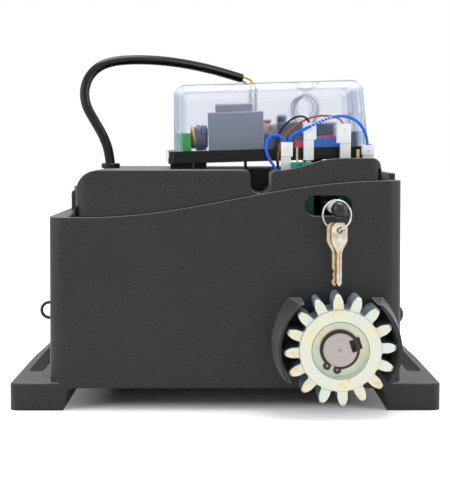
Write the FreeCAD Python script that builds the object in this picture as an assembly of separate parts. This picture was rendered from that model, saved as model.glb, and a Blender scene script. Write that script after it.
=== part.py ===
import FreeCAD, Part
import math
import os

# Sliding gate motor: a moulded base with two slotted feet carries a worm gearmotor, its rack
# pinion and a release rod; a tilted control box under a clear cover stands on the deck.
# Millimetres. +X right, +Y back, +Z up; the origin is on the ground under the middle of the
# whole motor. "Depth" below is the distance behind the front wall.

# ---------------------------------------------------------------- driving dimensions
# base housing
base_width = 236.0
base_depth = 175.0
base_bottom = 15.0
base_draft = 1.0
base_corner = 11.0
wall = 3.0
shelf_room = 14.0
shelf_step = 24.2
shelf_rise_left = 26.0
shelf_rise_right = 8.0
# feet
foot_span = 288.0
foot_inner = 108.0
foot_height = 18.0
foot_length = 190.0
foot_straight = 100.0
foot_taper = 3.0
foot_corner = 6.0
foot_slot_width = 11.0
foot_slot_front = 42.0
foot_slot_length = 110.0
foot_slot_side = 133.0
# deck housing
deck_left_inset = 18.5
deck_right_inset = 13.5
deck_setback = 2.0
deck_rise = 31.0
crest_rise = 8.0
crest_start_inset = 81.0
crest_full_inset = 38.0
deck_shoulder = 16.0
deck_flare = 7.0
deck_corner = 9.0
notch_inset = 94.6
notch_radius = 6.8
notch_drop = 15.7
notch_length = 55.0
notch_lip = 4.0
well_depth = 33.0
well_wall = 4.3
rail_height = 4.6
rail_width = 4.0
rail_inset = 7.0
# rack pinion and output shaft
pinion_inset = 44.4
pinion_height = 45.5
module = 4.0
teeth = 16
pressure_angle = 20.0
first_tooth = 93.0
pinion_width = 28.0
hub_face = 1.0
hub_radius = 26.5
recess_radius = 18.0
recess_depth = 6.0
wall_gap = 2.0
shaft_radius = 11.0
seat_radius = 12.5
tail_radius = 10.0
key_width = 8.0
key_height = 7.0
key_length = 16.0
key_angle = 18.0
clip_width = 2.4
clip_thickness = 1.2
clip_open = -112.0
shaft_nose = 2.8
shaft_fit = 0.03
tail_offset = 14.0
end_play = 0.2
# gear shroud
shroud_inner = 37.9
shroud_lip = 1.6
shroud_base = 5.2
shroud_length = 30.0
shroud_top = 30.0
shroud_bottom = 21.5
# worm drive
worm_module = 1.5
wheel_teeth = 30
worm_radius = 9.0
backlash = 0.25
wheel_width = 8.0
wheel_depth = 60.0
worm_length = 30.0
worm_journal = 6.0
bearing_width = 9.0
front_bearing_radius = 21.0
rear_bearing_radius = 18.5
worm_bearing_radius = 11.0
worm_bearing_width = 8.0
seal_width = 5.0
casing_wall = 2.4
# motor
motor_radius = 38.0
motor_length = 105.0
motor_wall = 2.5
flange_thickness = 5.0
rotor_radius = 20.0
rotor_length = 55.0
air_gap = 0.5
# release rod
slot_inset = 50.0
slot_drop = 16.6
slot_width = 31.4
slot_tall = 13.4
rod_radius = 4.5
rod_inset = 46.0
rod_drop = 17.4
rod_reach = 29.0
rod_travel = 6.5
cap_radius = 5.3
cap_length = 9.0
shoe_width = 14.0
shoe_depth = 12.0
tower_front = 27.0
tower_wall = 6.0
# plug in the right wall and eye on the left wall
eye_radius = 5.2
eye_wire = 1.1
eye_depth = 12.0
eye_height = 66.0
plug_dome = 7.5
plug_stem = 4.0
plug_height = 62.5
plug_depth = 16.0
# key ring and keys
ring_radius = 9.6
ring_wire = 0.6
ring_turn = 24.0
ring_reach = 15.0
key_turn = 19.0
plate = 1.8
plate_gap = 0.4
bow_width = 11.0
bow_height = 18.0
key_hole = 2.3
blade_width = 3.3
blade_length = 23.0
# control box
box_turn = 1.7
box_inset = 16.5
box_width = 141.0
box_front = 38.0
box_back = 142.0
tray_rise = 5.6
tray_thickness = 4.2
cover_rise = 60.0
cover_wall = 2.0
cover_edge = 8.0
board_thickness = 1.6
# mains cable
cable_radius = 3.5
grommet_inset = 35.2
grommet_depth = 80.0
grommet_radius = 6.7
grommet_height = 3.6
# run capacitor on the shelf
capacitor_inset = 11.4
capacitor_depth = 92.0
capacitor_radius = 6.6
capacitor_height = 15.0
clip_inset = 6.0
clearance = 0.3

# ---------------------------------------------------------------- derived places
front = (rod_reach + cap_length - foot_length) / 2
back = front + base_depth
pitch_radius = module * teeth / 2
tip_radius = pitch_radius + module
root_radius = pitch_radius - 1.25 * module
pinion_front = front - wall_gap - pinion_width
recess_floor = pinion_front + recess_depth
wheel_pitch = worm_module * wheel_teeth / 2
worm_height = pinion_height + wheel_pitch + worm_radius
wheel_middle = front + wheel_depth
half_width = base_width / 2
low_shelf = worm_height + motor_radius + shelf_room
high_shelf = low_shelf + shelf_step
shelf_rise_start = shelf_rise_left - half_width
shelf_rise_end = half_width - shelf_rise_right
deck_left = deck_left_inset - half_width
deck_right = half_width - deck_right_inset
deck_height = low_shelf + deck_rise
crest_height = deck_height + crest_rise
crest_start = half_width - crest_start_inset
crest_full = half_width - crest_full_inset
notch_side = half_width - notch_inset
notch_floor = deck_height - notch_drop
well_right = deck_right - well_wall
rail_side = half_width - rail_inset
pinion_side = half_width - pinion_inset
slot_side = half_width - slot_inset
slot_height = high_shelf - slot_drop
rod_side = half_width - rod_inset
rod_height = high_shelf - rod_drop
box_right = half_width - box_inset
box_left = box_right - box_width
tray_bottom = deck_height + tray_rise
cover_top = deck_height + cover_rise
base_top = high_shelf + rail_height + 1
chamber_radius = wheel_pitch + worm_module + 1.0
casing_radius = chamber_radius + casing_wall
boss_radius = front_bearing_radius + casing_wall
plug_y = front + plug_depth
plug_face = half_width - base_draft * (plug_height - base_bottom) / (base_top - base_bottom)
X_AXIS = FreeCAD.Vector(1, 0, 0)
Y_AXIS = FreeCAD.Vector(0, 1, 0)
Z_AXIS = FreeCAD.Vector(0, 0, 1)

os.makedirs("parts", exist_ok=True)


def point(x, y, z):
    return FreeCAD.Vector(x, y, z)


def save(name, shape):
    shape.exportStep("parts/" + name + ".step")


def box(x0, x1, y0, y1, z0, z1):
    return Part.makeBox(x1 - x0, y1 - y0, z1 - z0, point(x0, y0, z0))


def rod_y(x, z, radius, y0, y1):
    """Round bar along Y."""
    return Part.makeCylinder(radius, y1 - y0, point(x, y0, z), Y_AXIS)


def rod_x(y, z, radius, x0, x1):
    """Round bar along X."""
    return Part.makeCylinder(radius, x1 - x0, point(x0, y, z), X_AXIS)


def rod_z(x, y, radius, z0, z1):
    """Round bar along Z."""
    return Part.makeCylinder(radius, z1 - z0, point(x, y, z0), Z_AXIS)


def prism_y(wire, y0, y1):
    """Extrude a closed outline drawn in the plane Y = 0 from y0 to y1."""
    face = Part.Face(wire)
    face.translate(point(0, y0, 0))
    return face.extrude(point(0, y1 - y0, 0))


def rounded_outline(x0, x1, y0, y1, radius, z):
    """Rectangle with round corners in a level plane."""
    sheet = Part.makePlane(x1 - x0, y1 - y0, point(x0, y0, z))
    solid = sheet.extrude(point(0, 0, 1))
    upright = [e for e in solid.Edges if abs(e.tangentAt(e.FirstParameter).z) > 0.99]
    solid = solid.makeFillet(radius, upright)
    bottom = min(solid.Faces, key=lambda f: f.CenterOfMass.z)
    return bottom.OuterWire


def tapered_block(x0, x1, y0, y1, z0, z1, radius, draft):
    """Upright block with round corners whose walls lean in by the draft at the top."""
    low = rounded_outline(x0, x1, y0, y1, radius, z0)
    high = rounded_outline(x0 + draft, x1 - draft, y0 + draft, y1 - draft, radius, z1)
    return Part.makeLoft([low, high], True, True)


def obround_y(x, z, length, height, y0, y1):
    """Bar along Y with a slot-shaped section that lies along X."""
    radius = height / 2
    half = length / 2 - radius
    bar = box(x - half, x + half, y0, y1, z - radius, z + radius)
    bar = bar.fuse(rod_y(x - half, z, radius, y0, y1))
    return bar.fuse(rod_y(x + half, z, radius, y0, y1)).removeSplitter()


def edges_at(shape, test):
    """Edges whose middle point passes the test."""
    return [e for e in shape.Edges if test(e.valueAt((e.FirstParameter + e.LastParameter) / 2))]


# ---------------------------------------------------------------- shelf line
def shelf_edge(drop):
    """The S-shaped top line of the base, lowered by the given drop."""
    reach = (shelf_rise_end - shelf_rise_start) * 0.357
    curve = Part.BezierCurve()
    curve.setPoles([
        point(shelf_rise_start, 0, low_shelf - drop),
        point(shelf_rise_start + reach, 0, low_shelf - drop),
        point(shelf_rise_end - 1.11 * reach, 0, high_shelf - drop),
        point(shelf_rise_end, 0, high_shelf - drop),
    ])
    return curve


def below_shelf(drop, y0, y1):
    """Everything under the S-shaped shelf line."""
    side = base_width
    low = low_shelf - drop
    high = high_shelf - drop
    edges = [
        Part.makeLine(point(-side, 0, -50), point(-side, 0, low)),
        Part.makeLine(point(-side, 0, low), point(shelf_rise_start, 0, low)),
        shelf_edge(drop).toShape(),
        Part.makeLine(point(shelf_rise_end, 0, high), point(side, 0, high)),
        Part.makeLine(point(side, 0, high), point(side, 0, -50)),
        Part.makeLine(point(side, 0, -50), point(-side, 0, -50)),
    ]
    return prism_y(Part.Wire(edges), y0, y1)


under_shelf = below_shelf(0, front - 60, back + 60)


# ---------------------------------------------------------------- base housing
def foot(sign):
    """One foot: a long flange with round corners and one slot along its length."""
    inner = foot_inner
    outer = foot_span / 2
    taper = foot_taper
    outline = Part.makePolygon([
        point(inner, front, 0),
        point(outer, front, 0),
        point(outer, front + foot_straight, 0),
        point(outer - taper, front + foot_length, 0),
        point(inner, front + foot_length, 0),
        point(inner, front, 0),
    ])
    solid = Part.Face(outline).extrude(point(0, 0, foot_height))
    corners = edges_at(solid, lambda p: abs(p.z - foot_height / 2) < 1 and p.x > inner + 1
                       and abs(p.y - front - foot_straight) > 1)
    solid = solid.makeFillet(foot_corner, corners)
    rim = edges_at(solid, lambda p: p.z > foot_height - 0.1 and p.x > inner + 1
                   and p.y > front + 0.2)
    solid = solid.makeFillet(1.2, rim)
    slot_radius = foot_slot_width / 2
    slot_start = front + foot_slot_front
    slot_end = slot_start + foot_slot_length
    side = foot_slot_side
    slot = box(side - slot_radius, side + slot_radius, slot_start + slot_radius,
               slot_end - slot_radius, -1, foot_height + 1)
    slot = slot.fuse(rod_z(side, slot_start + slot_radius, slot_radius, -1, foot_height + 1))
    slot = slot.fuse(rod_z(side, slot_end - slot_radius, slot_radius, -1, foot_height + 1))
    solid = solid.cut(slot)
    # concave web between the inner side of the foot and the underside of the base
    web = 8.0
    web_block = box(inner - web, inner, front, back, base_bottom - web, base_bottom)
    web_block = web_block.cut(rod_y(inner - web, base_bottom - web, web, front - 1, back + 1))
    solid = solid.fuse(web_block)
    if sign < 0:
        solid = solid.mirror(point(0, 0, 0), X_AXIS)
    return solid


def shroud():
    """Two curved cheeks that stand out of the front wall beside the pinion."""
    root = wall / 2
    centre = point(pinion_side, front + root, pinion_height)
    outer = Part.makeCone(shroud_inner + shroud_base, shroud_inner + shroud_lip,
                          shroud_length + root, centre, -Y_AXIS)
    inner = Part.makeCylinder(shroud_inner, shroud_length + 2 * wall, centre + wall * Y_AXIS,
                              -Y_AXIS)
    ring = outer.cut(inner)
    reach = shroud_inner + shroud_base + 1
    inside_body = half_width - base_draft / 2
    band = box(pinion_side - reach, inside_body, front - shroud_length, front + root,
               pinion_height - shroud_bottom, pinion_height + shroud_top)
    return ring.common(band)


def base_block(inset):
    """The base's tapered outer form, or its hollow where an inset is given."""
    return tapered_block(inset - half_width, half_width - inset, front + inset, back - inset,
                         base_bottom + inset, base_top, base_corner - inset, base_draft)


def base_housing():
    outer = base_block(0)
    inner = base_block(wall)
    outer = outer.common(below_shelf(0, front - 1, back + 1))
    inner = inner.common(below_shelf(wall, front - 1, back + 1))
    body = outer.cut(inner)
    body = body.fuse(foot(1)).fuse(foot(-1)).fuse(shroud())
    # opening from the inside of the base up into the deck housing
    hatch_left = deck_left + 2 * wall
    hatch_right = notch_side - notch_radius - 2 * wall
    body = body.cut(box(hatch_left, hatch_right, front + 4 * wall, back - 4 * wall,
                        low_shelf - 2 * wall, deck_height))
    # rail along the right shelf for the outer cover
    rail = box(rail_side - rail_width / 2, rail_side + rail_width / 2, front + 10, back - 10,
               high_shelf - wall / 2, high_shelf + rail_height)
    body = body.fuse(rail)
    # hole for the gearbox nose and slot for the release rod
    body = body.cut(rod_y(pinion_side, pinion_height, boss_radius + clearance,
                          front - 1, front + wall + 1))
    body = body.cut(obround_y(slot_side, slot_height, slot_width, slot_tall,
                              front - 1, front + wall + 1))
    body = body.cut(rod_x(plug_y, plug_height, plug_stem + shaft_fit,
                          half_width - 2 * wall, half_width + 1))
    return body.fuse(side_eye()).removeSplitter()


def side_eye():
    """Small moulded eye on the left wall that holds a lead."""
    place = point(-half_width - 0.2, front + eye_depth, eye_height)
    section = Part.makeTorus(eye_radius, eye_wire, place, Y_AXIS)
    keep = box(-base_width, -half_width + wall / 2, front, back, base_bottom, low_shelf)
    return section.common(keep)


def side_plug():
    """Domed plug in the right wall."""
    dome = Part.makeSphere(plug_dome, point(plug_face - plug_dome * 0.6, plug_y, plug_height))
    head = dome.common(box(plug_face - wall / 2, plug_face + plug_dome, front, back,
                           base_bottom, low_shelf)).cut(base_block(0))
    stem = rod_x(plug_y, plug_height, plug_stem, plug_face - wall - 1.5, plug_face + 0.5)
    return head.fuse(stem).removeSplitter()


# ---------------------------------------------------------------- deck housing
def deck_profile(inset):
    """Outline of the deck housing seen from the front, open line along the shelf below."""
    left = deck_left + inset
    right = deck_right - inset
    top = deck_height - inset
    crest = crest_height - inset
    radius = deck_shoulder - inset
    slope = 3.2
    floor = low_shelf - 12
    rise = Part.BezierCurve()
    span = crest_full - crest_start
    rise.setPoles([
        point(crest_start, 0, top),
        point(crest_start + 0.4 * span, 0, top + 0.2 * (crest - top)),
        point(crest_full - 0.5 * span, 0, crest),
        point(crest_full, 0, crest),
    ])
    bend = math.sqrt(0.5) * radius
    shoulder = Part.Arc(point(left, 0, top - radius),
                        point(left + radius - bend, 0, top - radius + bend),
                        point(left + radius, 0, top))
    end_top = point(right - slope - 4, 0, crest)
    end_mid = point(right - slope + 0.2, 0, crest - 2.2)
    end_low = point(right - slope * 0.45, 0, crest - 6.5)
    corner = Part.Arc(end_top, end_mid, end_low)
    edges = [
        Part.makeLine(point(left, 0, floor), point(left, 0, top - radius)),
        shoulder.toShape(),
        Part.makeLine(point(left + radius, 0, top), point(crest_start, 0, top)),
        rise.toShape(),
        Part.makeLine(point(crest_full, 0, crest), end_top),
        corner.toShape(),
        Part.makeLine(end_low, point(right, 0, floor)),
        Part.makeLine(point(right, 0, floor), point(left, 0, floor)),
    ]
    return Part.Wire(edges)


def deck_plan(inset, radius):
    """Upright block with the deck housing's outline from above."""
    wire = rounded_outline(deck_left + inset, deck_right - inset, front + deck_setback + inset,
                           back - deck_setback - inset, radius, low_shelf - 2 * deck_setback)
    return Part.Face(wire).extrude(point(0, 0, deck_rise + 2 * crest_rise))


def flare_plan():
    """Upright block that rounds the ends of the two flares."""
    wire = rounded_outline(deck_left - deck_flare, rail_side, front + deck_setback,
                           back - deck_setback, deck_corner + deck_flare / 2, low_shelf - wall)
    return Part.Face(wire).extrude(point(0, 0, deck_rise + 2 * crest_rise))


def deck_housing():
    y0 = front + deck_setback
    y1 = back - deck_setback
    outer = prism_y(deck_profile(0), y0, y1).common(deck_plan(0, deck_corner)).cut(under_shelf)
    inner = prism_y(deck_profile(wall), y0 + wall, y1 - wall)
    inner = inner.common(deck_plan(wall, deck_corner - wall)).cut(under_shelf)
    body = outer.cut(inner)
    # the crest is only a wall round the right part: behind it the deck is at deck height
    crest_inside = box(crest_start, well_right, y0 + wall, y1 + 1,
                       deck_height, crest_height + 1)
    body = body.cut(crest_inside)
    roof = box(notch_side, well_right + 0.5, y0 + well_depth, y1 - wall,
               deck_height - wall, deck_height)
    body = body.fuse(roof)
    # well behind the crest, open at the top, closed from the inside by a cross wall
    well = box(notch_side + notch_radius + wall, well_right, y0 + wall,
               y0 + well_depth, low_shelf - wall, deck_height + 1).cut(under_shelf)
    body = body.cut(well)
    cross = box(notch_side, deck_right - wall, y0 + well_depth, y0 + well_depth + wall,
                low_shelf - wall, deck_height - wall / 2).cut(under_shelf)
    body = body.fuse(cross)
    # rounded trough in the deck with its own walls
    trough = u_bar(notch_radius + wall, notch_floor - wall, y0, y0 + notch_length + wall)
    trough = trough.common(prism_y(deck_profile(0), y0, y1)).cut(under_shelf)
    hollow = notch_trough(notch_radius, notch_floor, y0 - 1, y0 + notch_length)
    body = body.fuse(trough).cut(hollow)
    # cable hole
    gx, gy = grommet_place()
    body = body.cut(rod_z(gx, gy, cable_radius + 1.5, deck_height - wall - 1, deck_height + 1))
    left_flare = flare(deck_left, -deck_flare, low_shelf, y0, y1)
    right_flare = flare(deck_right - 1.6, rail_side - deck_right + 1.6, high_shelf - 0.3, y0, y1)
    flares = left_flare.fuse(right_flare.cut(under_shelf)).common(flare_plan())
    return body.fuse(flares).removeSplitter()


def flare(x, reach, z, y0, y1):
    """Concave fillet between an upright wall at x and a shelf at height z."""
    radius = abs(reach)
    low, high = min(x, x + reach), max(x, x + reach)
    block = box(low, high, y0, y1, z, z + radius)
    return block.cut(rod_y(x + reach, z + radius, radius, y0 - 1, y1 + 1))


def u_bar(radius, floor, y0, y1):
    """Bar along Y that is half round below and straight-sided above."""
    middle = floor + radius
    bar = rod_y(notch_side, middle, radius, y0, y1)
    return bar.fuse(box(notch_side - radius, notch_side + radius, y0, y1, middle,
                        crest_height + 5))


def notch_trough(radius, floor, y0, y1):
    """The trough's hollow: a U with lips that flare out at the deck."""
    bar = u_bar(radius, floor, y0, y1)
    lip = notch_lip
    flare = box(notch_side - radius - lip, notch_side + radius + lip, y0, y1,
                deck_height - lip, crest_height + 5)
    for side in (-1, 1):
        flare = flare.cut(rod_y(notch_side + side * (radius + lip), deck_height - lip, lip,
                                y0 - 1, y1 + 1))
    return bar.fuse(flare).removeSplitter()


def grommet_place():
    return grommet_inset - half_width, front + grommet_depth


# ---------------------------------------------------------------- gears
def involute(base_radius, roll):
    """Point on an involute that starts on the X axis, for a roll angle in radians."""
    x = base_radius * (math.cos(roll) + roll * math.sin(roll))
    y = base_radius * (math.sin(roll) - roll * math.cos(roll))
    return x, y


def turned(x, z, degrees):
    angle = math.radians(degrees)
    return (x * math.cos(angle) - z * math.sin(angle),
            x * math.sin(angle) + z * math.cos(angle))


def pinion_outline():
    """Closed outline of the rack pinion with involute flanks, about the origin."""
    base_radius = pitch_radius * math.cos(math.radians(pressure_angle))
    last_roll = math.sqrt((tip_radius / base_radius) ** 2 - 1)
    rolls = [last_roll * k / 4 for k in range(5)]
    pitch_roll = math.tan(math.radians(pressure_angle))
    pitch_turn = math.degrees(pitch_roll) - pressure_angle
    half_tooth = 90 / teeth - 0.25
    edges = []
    step = 360 / teeth

    def flank(side, middle):
        points = [turned(root_radius, 0, -(half_tooth + pitch_turn) - 0.6)]
        for roll in rolls:
            x, z = involute(base_radius, roll)
            points.append(turned(x, z, -(half_tooth + pitch_turn)))
        placed = []
        for x, z in points:
            x, z = turned(x, side * z, middle)
            placed.append(point(x, 0, z))
        return placed

    for k in range(teeth):
        middle = first_tooth + k * step
        right = flank(1, middle)
        left = flank(-1, middle)
        following = flank(1, middle + step)
        crown = turned(tip_radius, 0, middle)
        valley = turned(root_radius - 0.5, 0, middle + step / 2)
        for side in (right, left):
            curve = Part.BSplineCurve()
            curve.interpolate(side[1:])
            edges.append(curve.toShape())
            edges.append(Part.makeLine(side[0], side[1]))
        edges.append(Part.Arc(right[-1], point(crown[0], 0, crown[1]), left[-1]).toShape())
        edges.append(Part.Arc(left[0], point(valley[0], 0, valley[1]), following[0]).toShape())
    return Part.Wire(Part.__sortEdges__(edges))


def place_on_pinion(shape):
    shape.translate(point(pinion_side, 0, pinion_height))
    return shape


def key_slot(low, high, y0, y1):
    """Bar of the key's width between two heights above the shaft's middle."""
    bar = box(low, high, y0, y1, -key_width / 2, key_width / 2)
    bar.rotate(point(0, 0, 0), -Y_AXIS, key_angle)
    return place_on_pinion(bar)


def drive_pinion():
    outline = pinion_outline()
    teeth_front = pinion_front + hub_face
    pinion_back = pinion_front + pinion_width
    gear = prism_y(outline, teeth_front, pinion_back)
    chamfer = 1.2
    blank = Part.makePolygon([
        point(0, teeth_front, 0),
        point(tip_radius - chamfer, teeth_front, 0),
        point(tip_radius + 0.05, teeth_front + chamfer, 0),
        point(tip_radius + 0.05, pinion_back - chamfer, 0),
        point(tip_radius - chamfer, pinion_back, 0),
        point(0, pinion_back, 0),
        point(0, teeth_front, 0),
    ])
    blank = Part.Face(blank).revolve(point(0, 0, 0), Y_AXIS, 360)
    gear = gear.common(blank)
    hub = Part.makeCone(hub_radius - 0.4, hub_radius, hub_face, point(0, pinion_front, 0), Y_AXIS)
    gear = gear.fuse(hub)
    gear = gear.cut(rod_y(0, 0, recess_radius, pinion_front - 1, recess_floor))
    gear = gear.cut(rod_y(0, 0, shaft_radius + shaft_fit, pinion_front - 1, pinion_back + 1))
    gear = place_on_pinion(gear)
    slot_top = shaft_radius + key_height / 2 - 0.2
    return gear.cut(key_slot(0, slot_top, pinion_front - 1, pinion_back + 1))


def output_shaft():
    nose = recess_floor - clip_thickness - shaft_nose
    shoulder = pinion_front + pinion_width
    wheel_start = wheel_middle - wheel_width
    wheel_end = wheel_middle + wheel_width
    tail_start = wheel_middle + tail_offset
    tail_end = tail_start + bearing_width - end_play
    groove = shaft_radius - 0.6
    collar = seat_radius + 2
    outline = [
        (0, nose), (shaft_radius - 0.6, nose), (shaft_radius, nose + 0.6),
        (shaft_radius, recess_floor - clip_thickness), (groove, recess_floor - clip_thickness),
        (groove, recess_floor), (shaft_radius, recess_floor),
        (shaft_radius, shoulder), (seat_radius, shoulder),
        (seat_radius, wheel_start), (seat_radius, wheel_end - wheel_width / 2),
        (collar, wheel_end - wheel_width / 2), (collar, tail_start),
        (tail_radius, tail_start), (tail_radius, tail_end), (0, tail_end), (0, nose),
    ]
    wire = Part.makePolygon([point(r, y, 0) for r, y in outline])
    shaft = Part.Face(wire).revolve(point(0, 0, 0), Y_AXIS, 360)
    shaft = place_on_pinion(shaft)
    slot_floor = shaft_radius - key_height / 2 - 0.5
    slot_end = recess_floor + 2 + key_length
    return shaft.cut(key_slot(slot_floor, shaft_radius + 2, nose - 1, slot_end))


def shaft_key():
    low = shaft_radius - key_height / 2 - 0.5
    high = shaft_radius + key_height / 2 - 0.5
    start = recess_floor + 2
    key = key_slot(low, high, start, start + key_length)
    return key


def retaining_ring():
    """External circlip: an open ring with two lugs beside its gap."""
    inner = shaft_radius - 0.55
    outer = shaft_radius + clip_width - 0.5
    y0 = recess_floor - clip_thickness
    ring = rod_y(0, 0, outer, y0, recess_floor).cut(rod_y(0, 0, inner, y0 - 1, recess_floor + 1))
    gap = box(0, outer + 6, y0 - 1, recess_floor + 1, -1.2, 1.2)
    lugs = []
    for side in (-1, 1):
        x, z = turned(outer + 0.5, 0, side * 15)
        lug = rod_y(x, z, 2.6, y0, recess_floor)
        lug = lug.cut(rod_y(x, z, 0.9, y0 - 1, recess_floor + 1))
        lugs.append(lug)
    inside = rod_y(0, 0, inner, y0 - 1, recess_floor + 1)
    ring = ring.fuse(lugs).cut(gap).cut(inside)
    ring.rotate(point(0, 0, 0), -Y_AXIS, clip_open)
    return place_on_pinion(ring)


def wheel_outline(turn, y):
    """Straight-flanked tooth outline of the worm wheel."""
    flank = math.tan(math.radians(pressure_angle))
    half_pitch = math.pi * worm_module / 4 - backlash
    tip = wheel_pitch + worm_module - 0.15
    root = wheel_pitch - 1.2 * worm_module
    half_tip = half_pitch - (tip - wheel_pitch) * flank
    half_root = half_pitch + (wheel_pitch - root) * flank
    step = 360 / wheel_teeth
    points = []
    for k in range(wheel_teeth):
        middle = 90 + step / 2 + k * step + turn
        for radius, across in ((root, -half_root), (tip, -half_tip),
                               (tip, half_tip), (root, half_root)):
            x, z = turned(radius, across, middle)
            points.append(point(x, y, z))
    points.append(points[0])
    return Part.makePolygon(points)


def worm_wheel():
    """Bronze rim and steel hub in one; the teeth lean by the worm's lead angle."""
    half = wheel_width / 2
    lead = worm_module / (2 * worm_radius)
    lean = math.degrees(half * lead / wheel_pitch)
    outlines = [wheel_outline(lean, wheel_middle - half), wheel_outline(-lean, wheel_middle + half)]
    wheel = Part.makeLoft(outlines, True, True)
    bore = rod_y(0, 0, seat_radius + shaft_fit, wheel_middle - 20, wheel_middle + 20)
    hub = rod_y(0, 0, seat_radius + 4, wheel_middle - half - 4, wheel_middle + half)
    wheel = wheel.fuse(hub)
    return place_on_pinion(wheel.cut(bore))


def worm_shaft():
    """Worm, journals and motor shaft turned in one piece."""
    pitch = math.pi * worm_module
    turns = int(worm_length / pitch)
    length = turns * pitch
    flank = math.tan(math.radians(pressure_angle))
    half_pitch = pitch / 4 - backlash
    root = worm_radius - 1.2 * worm_module
    tip = worm_radius + worm_module - 0.15
    half_tip = half_pitch - (tip - worm_radius) * flank
    half_root = half_pitch + (worm_radius - root + 0.3) * flank
    section = Part.makePolygon([
        point(root - 0.3, 0, -half_root), point(tip, 0, -half_tip), point(tip, 0, half_tip),
        point(root - 0.3, 0, half_root), point(root - 0.3, 0, -half_root),
    ])
    helix = Part.Wire(Part.makeHelix(pitch, length, worm_radius))
    thread = helix.makePipeShell([section], True, True)
    core = Part.makeCylinder(root, length + 8, point(0, 0, -4))
    worm = core.fuse(thread)
    worm.rotate(point(0, 0, 0), Y_AXIS, 90)
    start = pinion_side - pitch * round(turns / 2)
    worm.translate(point(start, wheel_middle, worm_height))
    left_end = motor_left() + motor_wall + 2
    right_end = start + length + 4 + worm_bearing_width
    shaft = rod_x(wheel_middle, worm_height, worm_journal, left_end, right_end)
    return worm.fuse(shaft).removeSplitter()


def worm_ends():
    """Where the worm's root cylinder starts and ends along X."""
    pitch = math.pi * worm_module
    turns = int(worm_length / pitch)
    start = pinion_side - pitch * round(turns / 2)
    return start - 4, start + turns * pitch + 4


# ---------------------------------------------------------------- gearbox
def flange_right():
    low, high = worm_ends()
    return low - worm_bearing_width - end_play


def motor_left():
    return flange_right() - flange_thickness - motor_length


def tower_height():
    return rod_height - rod_radius - 4.0


def gearbox_casing():
    """Painted casting: wheel chamber, nose, worm tube, motor flange and release tower."""
    low, high = worm_ends()
    half = wheel_width / 2 + 6
    y0 = wheel_middle - half - casing_wall
    y1 = wheel_middle + half + casing_wall
    nose_front = front - wall_gap + 0.7
    tail = wheel_middle + tail_offset + bearing_width
    tube_radius = worm_bearing_radius + casing_wall + 1
    tube_left = flange_right() - flange_thickness
    tube_right = high + worm_bearing_width + end_play
    chamber = rod_y(pinion_side, pinion_height, casing_radius, y0, y1)
    nose = rod_y(pinion_side, pinion_height, boss_radius, nose_front, y0 + 1)
    rear = rod_y(pinion_side, pinion_height, rear_bearing_radius + casing_wall, y0 + 1, tail)
    tube = rod_x(wheel_middle, worm_height, tube_radius, tube_left, tube_right)
    flange = rod_x(wheel_middle, worm_height, motor_radius, tube_left, flange_right())
    neck = box(pinion_side - casing_radius, tube_right, y0, y1,
               pinion_height, worm_height)
    pad = box(pinion_side - 24, pinion_side + 24, y0, y1, base_bottom + wall, pinion_height)
    tower = box(pinion_side - 22, pinion_side + 24, front + tower_front, y1,
                worm_height, tower_height())
    face = box(pinion_side - 26, pinion_side + 26, front + tower_front,
               front + tower_front + tower_wall, worm_height, slot_height + slot_tall / 2 + 1)
    body = chamber.fuse([nose, rear, tube, flange, neck, pad, tower, face])
    # window in the tower's face for the rod's travel
    window_left = rod_side - rod_travel - rod_radius - 0.5
    window_right = rod_side + rod_radius + 0.5
    body = body.cut(box(window_left, window_right, front, front + tower_front + tower_wall,
                        tower_height(), slot_height + slot_tall))
    # bores
    body = body.cut(rod_y(pinion_side, pinion_height, chamber_radius,
                          wheel_middle - half, wheel_middle + half))
    body = body.cut(rod_y(pinion_side, pinion_height, front_bearing_radius,
                          nose_front - 1, front + wall + seal_width + bearing_width))
    body = body.cut(rod_y(pinion_side, pinion_height, seat_radius + 1, front, wheel_middle))
    body = body.cut(rod_y(pinion_side, pinion_height, rear_bearing_radius,
                          wheel_middle + tail_offset, tail + 1))
    body = body.cut(rod_y(pinion_side, pinion_height, seat_radius + 3,
                          wheel_middle, wheel_middle + 15))
    body = body.cut(rod_x(wheel_middle, worm_height, worm_bearing_radius,
                          tube_left - 1, tube_right + 1))
    return body.removeSplitter()


def ring_y(inner, outer, y0, y1):
    ring = rod_y(0, 0, outer, y0, y1).cut(rod_y(0, 0, inner, y0 - 1, y1 + 1))
    return place_on_pinion(ring)


def ring_x(inner, outer, x0, x1):
    ring = rod_x(wheel_middle, worm_height, outer, x0, x1)
    return ring.cut(rod_x(wheel_middle, worm_height, inner, x0 - 1, x1 + 1))


def worm_bearing(x0):
    return ring_x(worm_journal + shaft_fit, worm_bearing_radius - shaft_fit,
                  x0, x0 + worm_bearing_width)


def worm_bearings():
    low, high = worm_ends()
    left = worm_bearing(low - worm_bearing_width - end_play)
    return Part.makeCompound([left, worm_bearing(high + end_play)])


def gearbox_caps():
    """Covers over the rear bearing and over the end of the worm tube."""
    low, high = worm_ends()
    shaft_end = wheel_middle + tail_offset + bearing_width
    tube_end = high + worm_bearing_width + end_play
    rear = rod_y(pinion_side, pinion_height, rear_bearing_radius + casing_wall,
                 shaft_end, shaft_end + casing_wall)
    side = rod_x(wheel_middle, worm_height, worm_bearing_radius + casing_wall + 1,
                 tube_end, tube_end + casing_wall)
    return Part.makeCompound([rear, side])


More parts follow.
